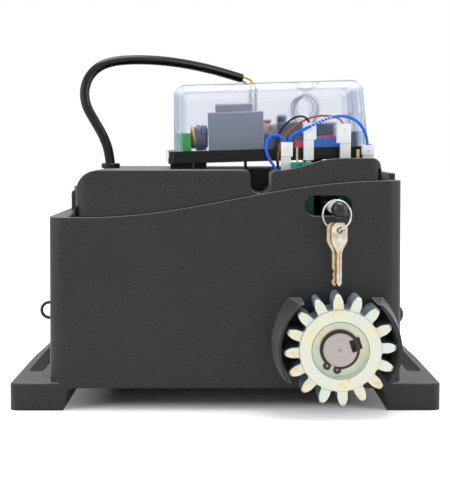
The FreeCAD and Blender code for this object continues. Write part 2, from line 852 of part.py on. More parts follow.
# ---------------------------------------------------------------- motor
def motor_shell():
    left = motor_left()
    right = flange_right() - flange_thickness
    shell = rod_x(wheel_middle, worm_height, motor_radius, left, right)
    bore = rod_x(wheel_middle, worm_height, motor_radius - motor_wall, left - 1, right + 1)
    shell = shell.cut(bore)
    ribs = []
    for k in range(16):
        rib = box(left + 6, right - 6, motor_radius - 0.5, motor_radius + 2.0, -0.9, 0.9)
        rib.rotate(point(0, 0, 0), X_AXIS, k * 360 / 16)
        rib.translate(point(0, wheel_middle, worm_height))
        ribs.append(rib)
    shell = shell.fuse(ribs)
    return shell.cut(bore)


def motor_end_shield():
    """Dished left end of the motor with the seat for its bearing."""
    left = motor_left()
    radius = motor_radius - motor_wall - shaft_fit
    disc = rod_x(wheel_middle, worm_height, radius, left + 0.5, left + motor_wall + 0.5)
    seat_end = left + motor_wall + worm_bearing_width + 1.7
    boss = rod_x(wheel_middle, worm_height, worm_bearing_radius + casing_wall,
                 left + 0.5, seat_end)
    bore = rod_x(wheel_middle, worm_height, worm_bearing_radius, left + motor_wall + 0.5,
                 seat_end + 1)
    return disc.fuse(boss).cut(bore)


def stator_place():
    middle = (motor_left() + flange_right() - flange_thickness) / 2
    return middle - rotor_length / 2, middle + rotor_length / 2


def stator_core():
    x0, x1 = stator_place()
    return ring_x(rotor_radius + air_gap, motor_radius - motor_wall - shaft_fit, x0, x1)


def stator_windings():
    """Two enamelled wire heads, one at each end of the core."""
    x0, x1 = stator_place()
    inner = rotor_radius + air_gap + 2
    outer = motor_radius - motor_wall - 3
    radius = (outer - inner) / 2
    heads = []
    for start, end in ((x0 - 11, x0), (x1, x1 + 11)):
        head = ring_x(inner, outer, start, end)
        free = start if start < x0 else end
        rims = edges_at(head, lambda p: abs(p.x - free) < 0.01)
        heads.append(head.makeFillet(min(radius * 0.8, 4), rims))
    return Part.makeCompound(heads)


def rotor_core():
    x0, x1 = stator_place()
    return ring_x(worm_journal + shaft_fit, rotor_radius, x0, x1)


# ---------------------------------------------------------------- release rod
def release_rod():
    y0 = front - rod_reach - 5
    y1 = front + tower_front + tower_wall + clearance + shoe_depth
    return rod_y(rod_side, rod_height, rod_radius, y0, y1)


def rod_cap():
    y0 = front - rod_reach
    centre = y0 - (cap_length - cap_radius)
    skirt = rod_y(rod_side, rod_height, cap_radius, centre, y0)
    dome = Part.makeSphere(cap_radius, point(rod_side, centre, rod_height))
    dome = dome.common(rod_y(rod_side, rod_height, cap_radius + 1, y0 - cap_length - 1, centre))
    socket = rod_y(rod_side, rod_height, rod_radius + shaft_fit, y0 - 5, y0 + 1)
    return skirt.fuse(dome).cut(socket).removeSplitter()


def release_shoe():
    """Sliding block in the gearbox tower that the rod is fixed in."""
    y0 = front + tower_front + tower_wall + clearance
    low = tower_height() + clearance
    block = box(rod_side - shoe_width / 2, rod_side + shoe_width / 2, y0, y0 + shoe_depth,
                low, rod_height + rod_radius + 2.5)
    uprights = edges_at(block, lambda p: abs(p.z - (low + rod_height + rod_radius + 2.5) / 2) < 1)
    block = block.makeFillet(1.5, uprights)
    return block.cut(rod_y(rod_side, rod_height, rod_radius + shaft_fit, y0 - 1,
                           y0 + shoe_depth + 1))


# ---------------------------------------------------------------- key ring and keys
def ring_centre():
    drop = ring_radius - ring_wire - rod_radius - 0.1
    return point(rod_side, front - ring_reach, rod_height - drop)


def key_ring():
    """Wire ring that hangs on the release rod, turned a little about the vertical."""
    centre = ring_centre()
    ring = Part.makeTorus(ring_radius, ring_wire, centre, Y_AXIS)
    ring.rotate(centre, Z_AXIS, -ring_turn)
    return ring


def key_place(order):
    """Middle of a key's hole; order is +1 for the front key and -1 for the rear key."""
    crossing = math.radians(ring_turn + key_turn)
    offset = order * (plate + plate_gap) / 2
    along = offset / math.sin(crossing)
    turn = math.radians(ring_turn)
    drop = math.sqrt(ring_radius ** 2 - along ** 2) + 0.4
    return ring_centre() + point(along * math.cos(turn), -along * math.sin(turn), -drop)


def door_key(order):
    """Flat key with an octagonal bow; its plate turns with key_turn."""
    half = bow_width / 2
    cut = half * 0.55
    top = 5.0
    low = top - bow_height
    tip = low - blade_length
    blade = blade_width / 2
    edge = [(-cut, top), (cut, top), (half, top - cut), (half, low + 2 * cut),
            (blade + 0.8, low + 0.5), (blade, low - 1.5), (blade, tip + blade),
            (blade * 0.3, tip), (-blade * 0.3, tip)]
    bits = [(-blade, tip + blade), (-blade, tip + 3.6), (-blade + 0.8, tip + 4.6),
            (-blade + 0.8, tip + 6.2), (-blade + 0.2, tip + 7.2), (-blade + 1.1, tip + 8.8),
            (-blade + 1.1, tip + 10.2), (-blade, tip + 11.6), (-blade, low - 1.5)]
    if order > 0:
        bits = [(-blade, tip + blade), (-blade, low - 1.5)]
    edge = edge + bits + [(-blade - 0.8, low + 0.5), (-half, low + 2 * cut), (-half, top - cut)]
    corners = [point(x, 0, z) for x, z in edge]
    outline = Part.makePolygon(corners + [corners[0]])
    key = prism_y(outline, -plate / 2, plate / 2)
    key = key.cut(rod_y(0, 0, key_hole, -plate, plate))
    # long groove down the blade's front face
    key = key.cut(box(-0.45, 0.45, -plate / 2 - 1, -plate / 2 + 0.5, tip + 2, low))
    key.rotate(point(0, 0, 0), Z_AXIS, key_turn)
    key.translate(key_place(order))
    return key


# ---------------------------------------------------------------- control box
box_pivot = FreeCAD.Vector((box_left + box_right) / 2, 0, tray_bottom)


def tilt(shape):
    """Lean the control box: its right side stands higher."""
    shape.rotate(box_pivot, -Y_AXIS, box_turn)
    return shape


def box_outline_block(inset, z0, z1, radius):
    wire = rounded_outline(box_left + inset, box_right - inset, front + box_front + inset,
                           front + box_back - inset, radius, z0)
    return Part.Face(wire).extrude(point(0, 0, z1 - z0))


rim_bottom = tray_bottom + tray_thickness
board_top = rim_bottom + tray_thickness
tray_wall = 2.0


def board_posts(radius, bottom, top):
    posts = []
    for x in (box_left + 12, box_right - 12):
        for y in (front + box_front + 12, front + box_back - 12):
            posts.append(rod_z(x, y, radius, bottom, top))
    return posts


def tray_base():
    outer = box_outline_block(0, tray_bottom, rim_bottom, 7)
    inner = box_outline_block(tray_wall, tray_bottom + 1.6, rim_bottom + 1, 5)
    body = outer.cut(inner)
    posts = board_posts(3.0, tray_bottom + 1, board_top - board_thickness)
    return tilt(body.fuse(posts).removeSplitter())


def tray_frame():
    outer = box_outline_block(0.5, rim_bottom, board_top, 6.5)
    inner = box_outline_block(3.5, rim_bottom - 1, board_top + 1, 4)
    return tilt(outer.cut(inner))


def circuit_board():
    board = box_outline_block(3.5 + clearance, board_top - board_thickness, board_top, 3.7)
    return tilt(board)


def clear_cover():
    """Thin moulded hood with a flange and four snap tabs."""
    def hood(inset, top, radius, edge):
        low = rounded_outline(box_left + 4 + inset, box_right - 1.5 - inset,
                              front + box_front + 2 + inset, front + box_back - 2 - inset,
                              radius, board_top)
        high = rounded_outline(box_left + 5.5 + inset, box_right - 4.5 - inset,
                               front + box_front + 3.5 + inset, front + box_back - 5 - inset,
                               radius, top)
        solid = Part.makeLoft([low, high], True, True)
        rim = edges_at(solid, lambda p: p.z > top - 0.1)
        return solid.makeFillet(edge, rim)

    outer = hood(0, cover_top, cover_edge + 1, cover_edge)
    inner = hood(cover_wall, cover_top - cover_wall, cover_edge + 1 - cover_wall,
                 cover_edge - cover_wall)
    flange = box_outline_block(0, board_top, board_top + 1.2, 7)
    body = outer.fuse(flange).cut(inner)
    tabs = []
    for y in (front + box_front + 14, front + box_back - 26):
        tabs.append(box(box_left - 1.6, box_left, y, y + 12, tray_bottom + 1.5, board_top + 1.2))
        tabs.append(box(box_right, box_right + 1.6, y, y + 12, tray_bottom + 1.5,
                        board_top + 1.2))
    return tilt(body.fuse(tabs).removeSplitter())


def on_board(x0, x1, depth, length, height):
    """Block on the circuit board; x0 and x1 are measured from the tray's left side."""
    return box(box_left + x0, box_left + x1, front + depth, front + depth + length, board_top, board_top + height)


def rounded_top(solid, radius):
    top = solid.BoundBox.ZMax
    rims = edges_at(solid, lambda p: p.z > top - 0.01)
    return solid.makeFillet(radius, rims)


def transformer():
    body = rounded_top(on_board(28.3, 67.3, 55, 34, 26.6), 1.2)
    tier = rounded_top(on_board(33.7, 60.0, 59, 26, 32.4), 1.2)
    return tilt(body.fuse(tier))


def green_terminal():
    body = on_board(6.5, 15.7, 58, 22, 12.6)
    for k in range(4):
        y = front + 58 + 2.8 + k * 5.5
        body = body.cut(rod_z(box_left + 10, y, 1.7, board_top + 9, board_top + 20))
    return tilt(body)


def choke():
    """Wound choke that stands on its rim: a copper coil and a blue coil on one core."""
    radius = 9.2
    y = front + 66
    z = board_top + radius
    left = box_left + 15.9
    middle = left + 3.4
    right = middle + 7.8
    copper = rod_x(y, z, radius - 0.4, left, middle)
    blue = rod_x(y, z, radius, middle, right)
    core = rod_x(y, z, 3.0, left - 0.1, right + 0.6)
    return tilt(Part.makeCompound([copper.cut(core), blue.cut(core), core]))


def relays():
    left = rounded_top(on_board(77.6, 95.9, 68, 16, 18.4), 0.8)
    middle = rounded_top(on_board(67.8, 77.1, 64, 9, 10.6), 0.6)
    right = rounded_top(on_board(105.7, 120.4, 82, 16, 17.6), 0.8)
    navy = rounded_top(on_board(128.1, 133.9, 58, 16, 10.4), 0.5)
    return tilt(Part.makeCompound([left, middle, right, navy]))


def film_capacitor():
    block = rounded_top(on_board(67.8, 77.1, 74, 9, 18.0), 1.0)
    return tilt(block)


def electrolytic():
    can = rod_z(box_left + 81.8, front + 90, 3.6, board_top, board_top + 24)
    return tilt(rounded_top(can, 0.8))


def screw_terminals():
    body = on_board(101.7, 120.5, 50, 8, 6.4)
    for k in range(4):
        x = box_left + 104.1 + k * 4.6
        body = body.cut(rod_z(x, front + 54, 1.6, board_top + 4.4, board_top + 10))
    return tilt(body)


def terminal_caps():
    low = board_top + 6.4
    y = front + 50.5
    green = box(box_left + 102.1, box_left + 105.5, y, y + 1.7, low, low + 1.6)
    red = box(box_left + 106.1, box_left + 118.9, y, y + 1.7, low, low + 1.6)
    return tilt(green), tilt(red)


def red_jumper():
    return tilt(on_board(89.1, 93.9, 50, 5, 5.4))


def aerial_post():
    x = box_left + 129.5
    y = front + 84
    stalk = rod_z(x, y, 0.8, board_top, board_top + 20)
    head = box(x - 1.7, x + 1.7, y - 1.7, y + 1.7, board_top + 20, board_top + 23.4)
    return tilt(stalk.fuse(head))


def box_supports():
    """Pedestal and posts between the deck and the tilted tray."""
    top = tray_bottom + 20
    near = front + box_front
    far = front + box_back
    plans = [
        (1.5, 17.0, near + 6, near + 34), (18.1, 26.5, near + 8, near + 18),
        (52.7, 54.7, near + 8, near + 12), (5.5, 17.5, far - 24, far - 8),
        (99.5, 113.5, far - 24, far - 8), (123.5, 135.5, near + 8, near + 24),
    ]
    feet = [box(box_left + x0, box_left + x1, y0, y1, deck_height, top)
            for x0, x1, y0, y1 in plans]
    tray_space = box(box_left - 5, box_right + 5, front, back, tray_bottom, tray_bottom + 60)
    tray_space = tilt(tray_space)
    return Part.makeCompound([leg.cut(tray_space) for leg in feet])


# ---------------------------------------------------------------- connectors in the well
switch_left = box_left + 83.9
switch_middle = switch_left + 14.0
switch_right = well_right - 2.7
switch_front = 12.0
switch_length = 17.0
switch_top = deck_height
teal_top = deck_height + 5.0
connector_y = front + switch_front + switch_length / 2


def switch_block():
    body = box(switch_middle, switch_right, front + switch_front,
               front + switch_front + switch_length, low_shelf, switch_top)
    return body.cut(under_shelf)


def limit_block():
    body = box(switch_left, switch_middle, front + switch_front,
               front + switch_front + switch_length, low_shelf, teal_top)
    body = body.cut(under_shelf)
    return body.cut(box(switch_left + 4, switch_left + 7, front + switch_front - 1,
                        front + switch_front + 3, teal_top - 5, teal_top + 1))


def stand_for_first():
    """Low carrier under the first connector, on the shelf."""
    body = box(switch_left - 5.6, switch_left, front + switch_front,
               front + switch_front + switch_length, low_shelf, deck_height - 3.0)
    return body.cut(under_shelf)


def spade_housing(left, right, step, low, high, left_step):
    """Tall plug housing with a narrower lower part and a slot in its front.

    left and right are measured from the control box's left side, low and high from the deck.
    """
    x0, x1 = box_left + left, box_left + right
    z0, z1 = deck_height + low, deck_height + high
    half = 3.6
    y0 = connector_y - half
    y1 = connector_y + half
    middle = z0 + (z1 - z0) * 0.55
    upper = box(x0, x1, y0, y1, middle, z1)
    shift = step if left_step else 0
    lower = box(x0 + shift, x1 - (0 if left_step else step), y0 + 0.5, y1 - 0.5, z0, middle)
    body = upper.fuse(lower)
    mid = (x0 + x1) / 2
    window = box(mid - 0.8, mid + 0.8, y0 - 1, y0 + 0.6, z1 - 5.5, z1 - 3.5)
    return body.cut(window).removeSplitter()


def tab(x, base, top, width=3.2):
    """Flat brass blade that stands up from a block, x from the control box's left side."""
    middle = box_left + x
    return box(middle - width / 2, middle + width / 2, connector_y - 0.4, connector_y + 0.4,
               base, deck_height + top)


# ---------------------------------------------------------------- cords
def cord(points, radius, name):
    """Tube along straight runs that are joined by tangent arcs.

    A route's point is its distance from the control box's left side, its depth behind the
    front wall and its height over the deck.
    """
    stations = [point(box_left + x, front + depth, deck_height + z) for x, depth, z in points]
    edges = []
    start = stations[0]
    least = 1e9
    for k in range(1, len(stations) - 1):
        before = stations[k] - stations[k - 1]
        after = stations[k + 1] - stations[k]
        short = min(before.Length, after.Length)
        before.normalize()
        after.normalize()
        half_turn = before.getAngle(after) / 2
        trim = 0.45 * short
        least = min(least, trim / math.tan(half_turn))
        enter = stations[k] - before * trim
        leave = stations[k] + after * trim
        inward = after - before
        inward.normalize()
        bend = trim / math.tan(half_turn)
        sagitta = bend / math.cos(half_turn) - bend
        crown = stations[k] + inward * sagitta
        edges.append(Part.LineSegment(start, enter).toShape())
        edges.append(Part.Arc(enter, crown, leave).toShape())
        start = leave
    edges.append(Part.LineSegment(start, stations[-1]).toShape())
    path = Part.Wire(edges)
    heading = stations[1] - stations[0]
    section = Part.Wire(Part.makeCircle(radius, stations[0], heading))
    tube = path.makePipeShell([section], True, False)
    expected = math.pi * radius ** 2 * path.Length
    print(name, "length", round(path.Length, 1), "least radius", round(least, 1),
          "diameters", round(least / radius / 2, 2), "volume ratio",
          round(tube.Volume / expected, 4))
    return tube


# the mains route's first number is its share of the way from the grommet to the box's inlet
mains_route = [
    (0, 80, -1), (-0.0084, 80, 11), (-0.0522, 80, 23), (-0.1211, 80.6, 34.2),
    (-0.1837, 81.6, 44.6), (-0.2025, 83.4, 55.4), (-0.1712, 86, 66), (-0.095, 90, 74),
    (0.0146, 95, 78), (0.1545, 102, 79.6), (0.3215, 110, 79.8), (0.499, 119, 78.6),
    (0.6764, 128, 76), (0.8434, 137, 72.6), (1, 144, 68.4),
]
earth_route = [
    (52.5, 144.2, 69.6), (56.5, 145.6, 69), (60.5, 147, 66.6), (62.9, 148.2, 61.6),
    (63.7, 148.8, 53.4), (63.5, 148.8, 43), (63.1, 148.6, 33), (62.9, 147.6, 24.4),
    (62.7, 145.6, 16.6), (62.7, 142.2, 10.4),
]
core_route = [
    (52.1, 145, 66.8), (55.3, 147, 65.6), (57.7, 149, 62.4), (59.1, 150.2, 57), (59.9, 150.2, 49),
    (60.1, 150, 39), (60.1, 149.6, 29.4), (59.9, 148, 21), (59.7, 145.6, 14.6),
    (59.7, 142.2, 9.8),
]
black_route = [
    (96.5, 20.5, 30), (95.1, 21, 34.2), (90.9, 22, 36.2), (85.9, 23, 35), (80.9, 23.5, 31.4),
    (76.7, 23.5, 26), (74.1, 23, 19.6), (73.5, 22.5, 12.4), (74.5, 22, 4.6), (76.1, 21.5, -3.4),
    (76.5, 21, -10.6),
]
brown_route = [
    (119.1, 20.5, 29.4), (117.9, 22, 33.2), (113.5, 25, 35.8), (106.5, 27.5, 36.6),
    (99.5, 28.5, 35.8), (92.5, 29, 33.2), (86.1, 29, 29), (80.9, 28.5, 24), (77.1, 27.6, 17.6),
    (75.5, 26.6, 10), (75.5, 25.6, 1.6), (76.5, 24.6, -5.4), (77.1, 24.2, -11.4),
]
short_route = [
    (80.4, 20, 12.1), (80.1, 19.6, 17.2), (77.9, 19, 21.6), (73.5, 18.2, 23.6),
    (69.1, 17.6, 22.2), (66.8, 17.2, 18), (66.9, 17, 12.6), (68.7, 17, 7.4), (71.9, 17.2, 3),
    (74.8, 17.2, -1.8), (76.1, 17.2, -6.6), (76.3, 17.2, -11.4),
]
long_route = [
    (82.3, 20.5, 17), (82.7, 18.4, 21.4), (86.1, 16.2, 24.2), (91.5, 14.6, 26.6),
    (97.1, 13.8, 29.4), (103.3, 13.6, 32.4), (110.5, 14, 35.2), (117.5, 14.8, 36),
    (123.9, 15.8, 34.6), (129.1, 17, 31.4), (132.7, 18.2, 26.8), (134.7, 19.6, 21.2),
    (135.5, 20.5, 15),
]
aerial_route = [
    (96.5, 92, 13.6), (95.5, 92, 22), (92.9, 92, 30), (90.1, 92, 38), (89.7, 92, 45.6),
    (92.9, 92, 51.6), (98.5, 92, 53.6), (104.1, 92.6, 51.2), (107.1, 93, 45.4), (106.3, 93, 38),
    (102.9, 93, 30.4), (100.1, 93, 22.6), (99.3, 93, 14.2),
]


def wire_bush():
    """Rubber bush on the shelf that the motor leads go down through."""
    body = box(box_left + 73.9, box_left + 78.0, front + 15.4, front + 26.4,
               low_shelf, deck_height - 9.6)
    return body.cut(under_shelf)


def cable_grommet():
    gx, gy = grommet_place()
    flange = rod_z(gx, gy, grommet_radius, deck_height, deck_height + grommet_height)
    rims = edges_at(flange, lambda p: p.z > deck_height + grommet_height - 0.01)
    flange = flange.makeFillet(1.0, rims)
    neck = rod_z(gx, gy, cable_radius + 1.5 - shaft_fit, deck_height - wall - 1, deck_height)
    bore = rod_z(gx, gy, cable_radius, deck_height - 20, deck_height + 20)
    return flange.fuse(neck).cut(bore)


# ---------------------------------------------------------------- run capacitor on the shelf
def run_capacitor():
    """Upright capacitor with a domed top, in the recess beside the deck's left wall."""
    x = capacitor_inset - half_width
    y = front + capacitor_depth
    can = rod_z(x, y, capacitor_radius, low_shelf, low_shelf + capacitor_height)
    top = edges_at(can, lambda p: p.z > low_shelf + capacitor_height - 0.1)
    can = can.makeFillet(3.0, top)
    can = can.cut(box(deck_left, 0, y - 20, y + 20, low_shelf - 1, deck_height))
    return can.cut(flare(deck_left, -deck_flare, low_shelf, front, back))


def capacitor_clip():
    """Teal holder behind the capacitor."""
    left = clip_inset - half_width
    near = front + capacitor_depth + capacitor_radius + 0.6
    clip = box(left, left + 11.0, near, near + 8.8, low_shelf, low_shelf + 17.5)
    return clip.cut(flare(deck_left, -deck_flare, low_shelf, front, back))


# ---------------------------------------------------------------- write the pieces
save("base_housing", base_housing())
save("side_plug", side_plug())
save("deck_housing", deck_housing())
save("drive_pinion", drive_pinion())
save("output_shaft", output_shaft())
save("shaft_key", shaft_key())
save("retaining_ring", retaining_ring())
save("worm_wheel", worm_wheel())
save("worm_shaft", worm_shaft())
save("gearbox_casing", gearbox_casing())
bearing_front = front + wall + seal_width
save("front_bearing", ring_y(seat_radius + shaft_fit, front_bearing_radius - shaft_fit,
                             bearing_front, bearing_front + bearing_width))
save("shaft_seal", ring_y(seat_radius + 0.1, front_bearing_radius - shaft_fit,
                          front + wall, bearing_front))
bearing_rear = wheel_middle + tail_offset + end_play
save("rear_bearing", ring_y(tail_radius + shaft_fit, rear_bearing_radius - shaft_fit,
                            bearing_rear, bearing_rear + bearing_width - end_play))
low, high = worm_ends()
save("worm_bearings", worm_bearings())
save("gearbox_caps", gearbox_caps())
save("motor_shell", motor_shell())
save("motor_end_shield", motor_end_shield())
save("motor_bearing", worm_bearing(motor_left() + motor_wall + 0.7))
save("stator_core", stator_core())
save("stator_windings", stator_windings())
save("rotor_core", rotor_core())
save("release_rod", release_rod())
save("rod_cap", rod_cap())
save("release_shoe", release_shoe())
save("key_ring", key_ring())
save("front_key", door_key(1))
save("rear_key", door_key(-1))
save("tray_base", tray_base())
save("tray_frame", tray_frame())
save("circuit_board", circuit_board())
save("clear_cover", clear_cover())
save("transformer", transformer())
save("green_terminal", green_terminal())
save("choke", choke())
save("relays", relays())
save("film_capacitor", film_capacitor())
save("electrolytic", electrolytic())
save("screw_terminals", screw_terminals())
green_cap, red_cap = terminal_caps()
save("terminal_caps", Part.makeCompound([green_cap, red_cap, red_jumper()]))
save("aerial_post", aerial_post())
save("box_supports", box_supports())
save("switch_block", switch_block().fuse(stand_for_first()))
save("limit_block", limit_block())
save("spade_housing_1", spade_housing(77.1, 84.8, 1.2, -3.0, 18.4, False))
save("spade_housing_2", spade_housing(92.3, 100.5, 1.6, 6.4, 31.4, False))
save("spade_housing_3", spade_housing(114.5, 123.7, 2.4, 2.0, 30.8, True))
save("spade_housing_4", spade_housing(131.5, 139.3, 0.6, 2.0, 16.4, True))
tabs = [tab(87.9, teal_top, 15.0, 1.4), tab(95.6, teal_top, 6.4), tab(120.3, switch_top, 2.0),
        tab(128.9, switch_top, 13.6, 2.0), tab(134.9, switch_top, 2.0)]
save("brass_tabs", Part.makeCompound(tabs))
save("wire_bush", wire_bush())
save("cable_grommet", cable_grommet())
save("run_capacitor", run_capacitor())
save("capacitor_clip", capacitor_clip())
cable_start = grommet_inset - half_width - box_left
cable_end = 52.5
mains_places = [(cable_start + share * (cable_end - cable_start), depth, rise)
                for share, depth, rise in mains_route]
save("mains_cable", cord(mains_places, cable_radius, "mains_cable"))
save("earth_wire", cord(earth_route, 0.9, "earth_wire"))
save("core_wire", cord(core_route, 0.8, "core_wire"))
save("black_wire", cord(black_route, 0.7, "black_wire"))
save("brown_wire", cord(brown_route, 0.75, "brown_wire"))
save("blue_wire_short", cord(short_route, 1.0, "blue_wire_short"))
save("blue_wire_long", cord(long_route, 1.0, "blue_wire_long"))
save("aerial_wire", cord(aerial_route, 0.7, "aerial_wire"))
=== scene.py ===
import math

import bmesh
import bpy
from mathutils import Matrix, Vector


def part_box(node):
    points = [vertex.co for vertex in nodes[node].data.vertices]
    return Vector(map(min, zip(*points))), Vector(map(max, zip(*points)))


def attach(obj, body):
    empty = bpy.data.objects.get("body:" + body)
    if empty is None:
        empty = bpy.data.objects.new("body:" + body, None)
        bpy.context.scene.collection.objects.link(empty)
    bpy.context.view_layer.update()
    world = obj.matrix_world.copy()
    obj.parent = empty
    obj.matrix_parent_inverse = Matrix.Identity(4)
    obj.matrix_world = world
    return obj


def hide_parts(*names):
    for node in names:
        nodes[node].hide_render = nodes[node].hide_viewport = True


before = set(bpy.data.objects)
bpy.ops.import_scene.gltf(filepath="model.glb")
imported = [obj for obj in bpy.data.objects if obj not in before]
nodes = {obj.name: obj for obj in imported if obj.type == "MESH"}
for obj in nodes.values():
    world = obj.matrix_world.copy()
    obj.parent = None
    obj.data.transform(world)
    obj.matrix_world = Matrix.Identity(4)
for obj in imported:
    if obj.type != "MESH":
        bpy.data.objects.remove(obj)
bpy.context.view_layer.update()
scene = bpy.context.scene
scene.view_settings.view_transform = "Standard"


# ---------------------------------------------------------------- bench, light and camera
# The motor stands on a plain pale floor in a white room. One wide softbox hangs overhead, two
# weaker ones stand in front, and the camera looks a little down at the pinion side.
def maths(tree, operation, *terms):
    """Sum done on sockets or plain numbers."""
    node = tree.nodes.new("ShaderNodeMath")
    node.operation = operation
    for entry, term in zip(node.inputs, terms):
        if isinstance(term, float):
            entry.default_value = term
        else:
            tree.links.new(term, entry)
    return node.outputs["Value"]


def toned(tree, share, *stops):
    """Colour that follows a share from 0 to 1 through stops of position and colour."""
    node = tree.nodes.new("ShaderNodeValToRGB")
    marks = node.color_ramp.elements
    marks.remove(marks[-1])
    for position, colour in stops[1:]:
        marks.new(position).color = (*colour, 1.0)
    marks[0].position = stops[0][0]
    marks[0].color = (*stops[0][1], 1.0)
    tree.links.new(share, node.inputs["Fac"])
    return node.outputs["Color"]


def split(tree, vector):
    """X, Y and Z of a vector, by name."""
    node = tree.nodes.new("ShaderNodeSeparateXYZ")
    tree.links.new(vector, node.inputs["Vector"])
    return node.outputs


ambient_strength = 0.58
room = bpy.data.worlds.new("room")
scene.world = room
room.use_nodes = True
sky = room.node_tree
sky.nodes.clear()
sky_path = sky.nodes.new("ShaderNodeLightPath").outputs
seen_or_mirrored = maths(sky, "MAXIMUM", sky_path["Is Camera Ray"], sky_path["Is Glossy Ray"])
seen_at_all = maths(sky, "MAXIMUM", seen_or_mirrored, sky_path["Is Transmission Ray"])
sky_light = sky.nodes.new("ShaderNodeBackground")
sky_light.inputs["Color"].default_value = (1.0, 1.0, 1.0, 1.0)
sky_light.inputs["Strength"].default_value = ambient_strength
sky_seen = sky.nodes.new("ShaderNodeBackground")
sky_seen.inputs["Color"].default_value = (1.0, 1.0, 1.0, 1.0)
sky_seen.inputs["Strength"].default_value = 1.0
sky_mix = sky.nodes.new("ShaderNodeMixShader")
sky.links.new(seen_at_all, sky_mix.inputs[0])
sky.links.new(sky_light.outputs[0], sky_mix.inputs[1])
sky.links.new(sky_seen.outputs[0], sky_mix.inputs[2])
sky_out = sky.nodes.new("ShaderNodeOutputWorld")
sky.links.new(sky_mix.outputs[0], sky_out.inputs["Surface"])

floor_mesh = bpy.data.meshes.new("floor")
floor_mesh.from_pydata([(-6, -6, 0), (6, -6, 0), (6, 6, 0), (-6, 6, 0)], [], [(0, 1, 2, 3)])
floor = bpy.data.objects.new("floor", floor_mesh)
scene.collection.objects.link(floor)
floor_paint = bpy.data.materials.new("floor_paint")
floor_paint.use_nodes = True
paint = floor_paint.node_tree
floor_base = paint.nodes["Principled BSDF"]
floor_base.inputs["Base Color"].default_value = (0.93, 0.93, 0.93, 1.0)
floor_base.inputs["Roughness"].default_value = 0.9
floor_base.inputs["Specular IOR Level"].default_value = 0.1
# the floor glows white for the camera away from the motor; the glow fades out under and round it,
# so a painted contact shadow keeps the floor there grey; the motor is wider than it is deep, so
# sideways distance counts for less
side_weight = 0.64
floor_path = paint.nodes.new("ShaderNodeLightPath").outputs
floor_seen = maths(paint, "MAXIMUM", floor_path["Is Camera Ray"], floor_path["Is Transmission Ray"])
floor_place = split(paint, paint.nodes.new("ShaderNodeTexCoord").outputs["Object"])
side_reach = maths(paint, "ABSOLUTE", maths(paint, "MULTIPLY", floor_place["X"], side_weight))
reach = maths(paint, "MAXIMUM", side_reach, maths(paint, "ABSOLUTE", floor_place["Y"]))
# glow share: none near the motor, so the grey there is partly painted shadow, rising to full white
# far off
glow_outside_painted_shadow = toned(paint, reach, (0.050, (0.0, 0.0, 0.0)), (0.088, (0.34, 0.34, 0.34)),
                  (0.60, (1.0, 1.0, 1.0)))
floor_glow = paint.nodes.new("ShaderNodeEmission")
floor_glow.inputs["Color"].default_value = (1.0, 1.0, 1.0, 1.0)
paint.links.new(maths(paint, "MULTIPLY", floor_seen, glow_outside_painted_shadow), floor_glow.inputs["Strength"])
floor_sum = paint.nodes.new("ShaderNodeAddShader")
paint.links.new(floor_base.outputs[0], floor_sum.inputs[0])
paint.links.new(floor_glow.outputs[0], floor_sum.inputs[1])
paint.links.new(floor_sum.outputs[0], paint.nodes["Material Output"].inputs["Surface"])
floor_mesh.materials.append(floor_paint)


def softbox(name, place, aim, wide, tall, power):
    """A square lamp that faces the point aimed at."""
    lamp = bpy.data.lights.new(name, "AREA")
    lamp.shape = "RECTANGLE"
    lamp.size = wide
    lamp.size_y = tall
    lamp.energy = power
    holder = bpy.data.objects.new(name, lamp)
    holder.location = place
    holder.rotation_euler = (Vector(aim) - Vector(place)).to_track_quat("-Z", "Y").to_euler()
    scene.collection.objects.link(holder)


motor_middle = (0, 0, 0.1)
softbox("overhead_lamp", (0.1, 0.1, 1.5), motor_middle, 1.3, 0.7, 16.0)
softbox("left_lamp", (-1.5, -0.75, 0.7), motor_middle, 0.6, 1.2, 8.0)
softbox("right_lamp", (1.5, -0.65, 0.7), motor_middle, 0.6, 1.2, 8.0)

down_tilt = math.radians(4.58)
side_turn = math.radians(-0.14)
lens = bpy.data.cameras.new("camera")
lens.lens = 86.2
lens.sensor_width = 36.0
lens.clip_start = 0.05
camera = bpy.data.objects.new("camera", lens)
camera.location = (-0.002, -0.828, 0.175)
camera.rotation_euler = (math.pi / 2 - down_tilt, 0.0, side_turn)
scene.collection.objects.link(camera)
scene.camera = camera


# ---------------------------------------------------------------- base housing
# The base, its feet and the pinion guard are one moulding in black glass-filled nylon, made in
# a spark-eroded tool, so every outer face has the same fine grain of light and dark specks.
def noise(tree, vector, scale, detail, roughness=0.5):
    """Smooth random share that changes over a place in space."""
    node = tree.nodes.new("ShaderNodeTexNoise")
    node.inputs["Scale"].default_value = scale
    node.inputs["Detail"].default_value = detail
    node.inputs["Roughness"].default_value = roughness
    tree.links.new(vector, node.inputs["Vector"])
    return node.outputs["Fac"]


def ranged(tree, share, low, high, start=0.0, end=1.0):
    """Value that runs from low to high while the share runs from start to end."""
    node = tree.nodes.new("ShaderNodeMapRange")
    node.inputs["From Min"].default_value = start
    node.inputs["From Max"].default_value = end
    node.inputs["To Min"].default_value = low
    node.inputs["To Max"].default_value = high
    tree.links.new(share, node.inputs["Value"])
    return node.outputs["Result"]


def blended(tree, share, under, over):
    """One colour laid over another by a share; the colour on top may be a plain one."""
    node = tree.nodes.new("ShaderNodeMix")
    node.data_type = "RGBA"
    tree.links.new(share, node.inputs["Factor"])
    tree.links.new(under, node.inputs["A"])
    if isinstance(over, tuple):
        node.inputs["B"].default_value = (*over, 1.0)
    else:
        tree.links.new(over, node.inputs["B"])
    return node.outputs["Result"]


def rounded_rim(tree, radius, samples):
    """Normal that turns smoothly over every sharp rim, as a tool's radius makes it."""
    node = tree.nodes.new("ShaderNodeBevel")
    node.samples = samples
    node.inputs["Radius"].default_value = radius
    return node.outputs["Normal"]


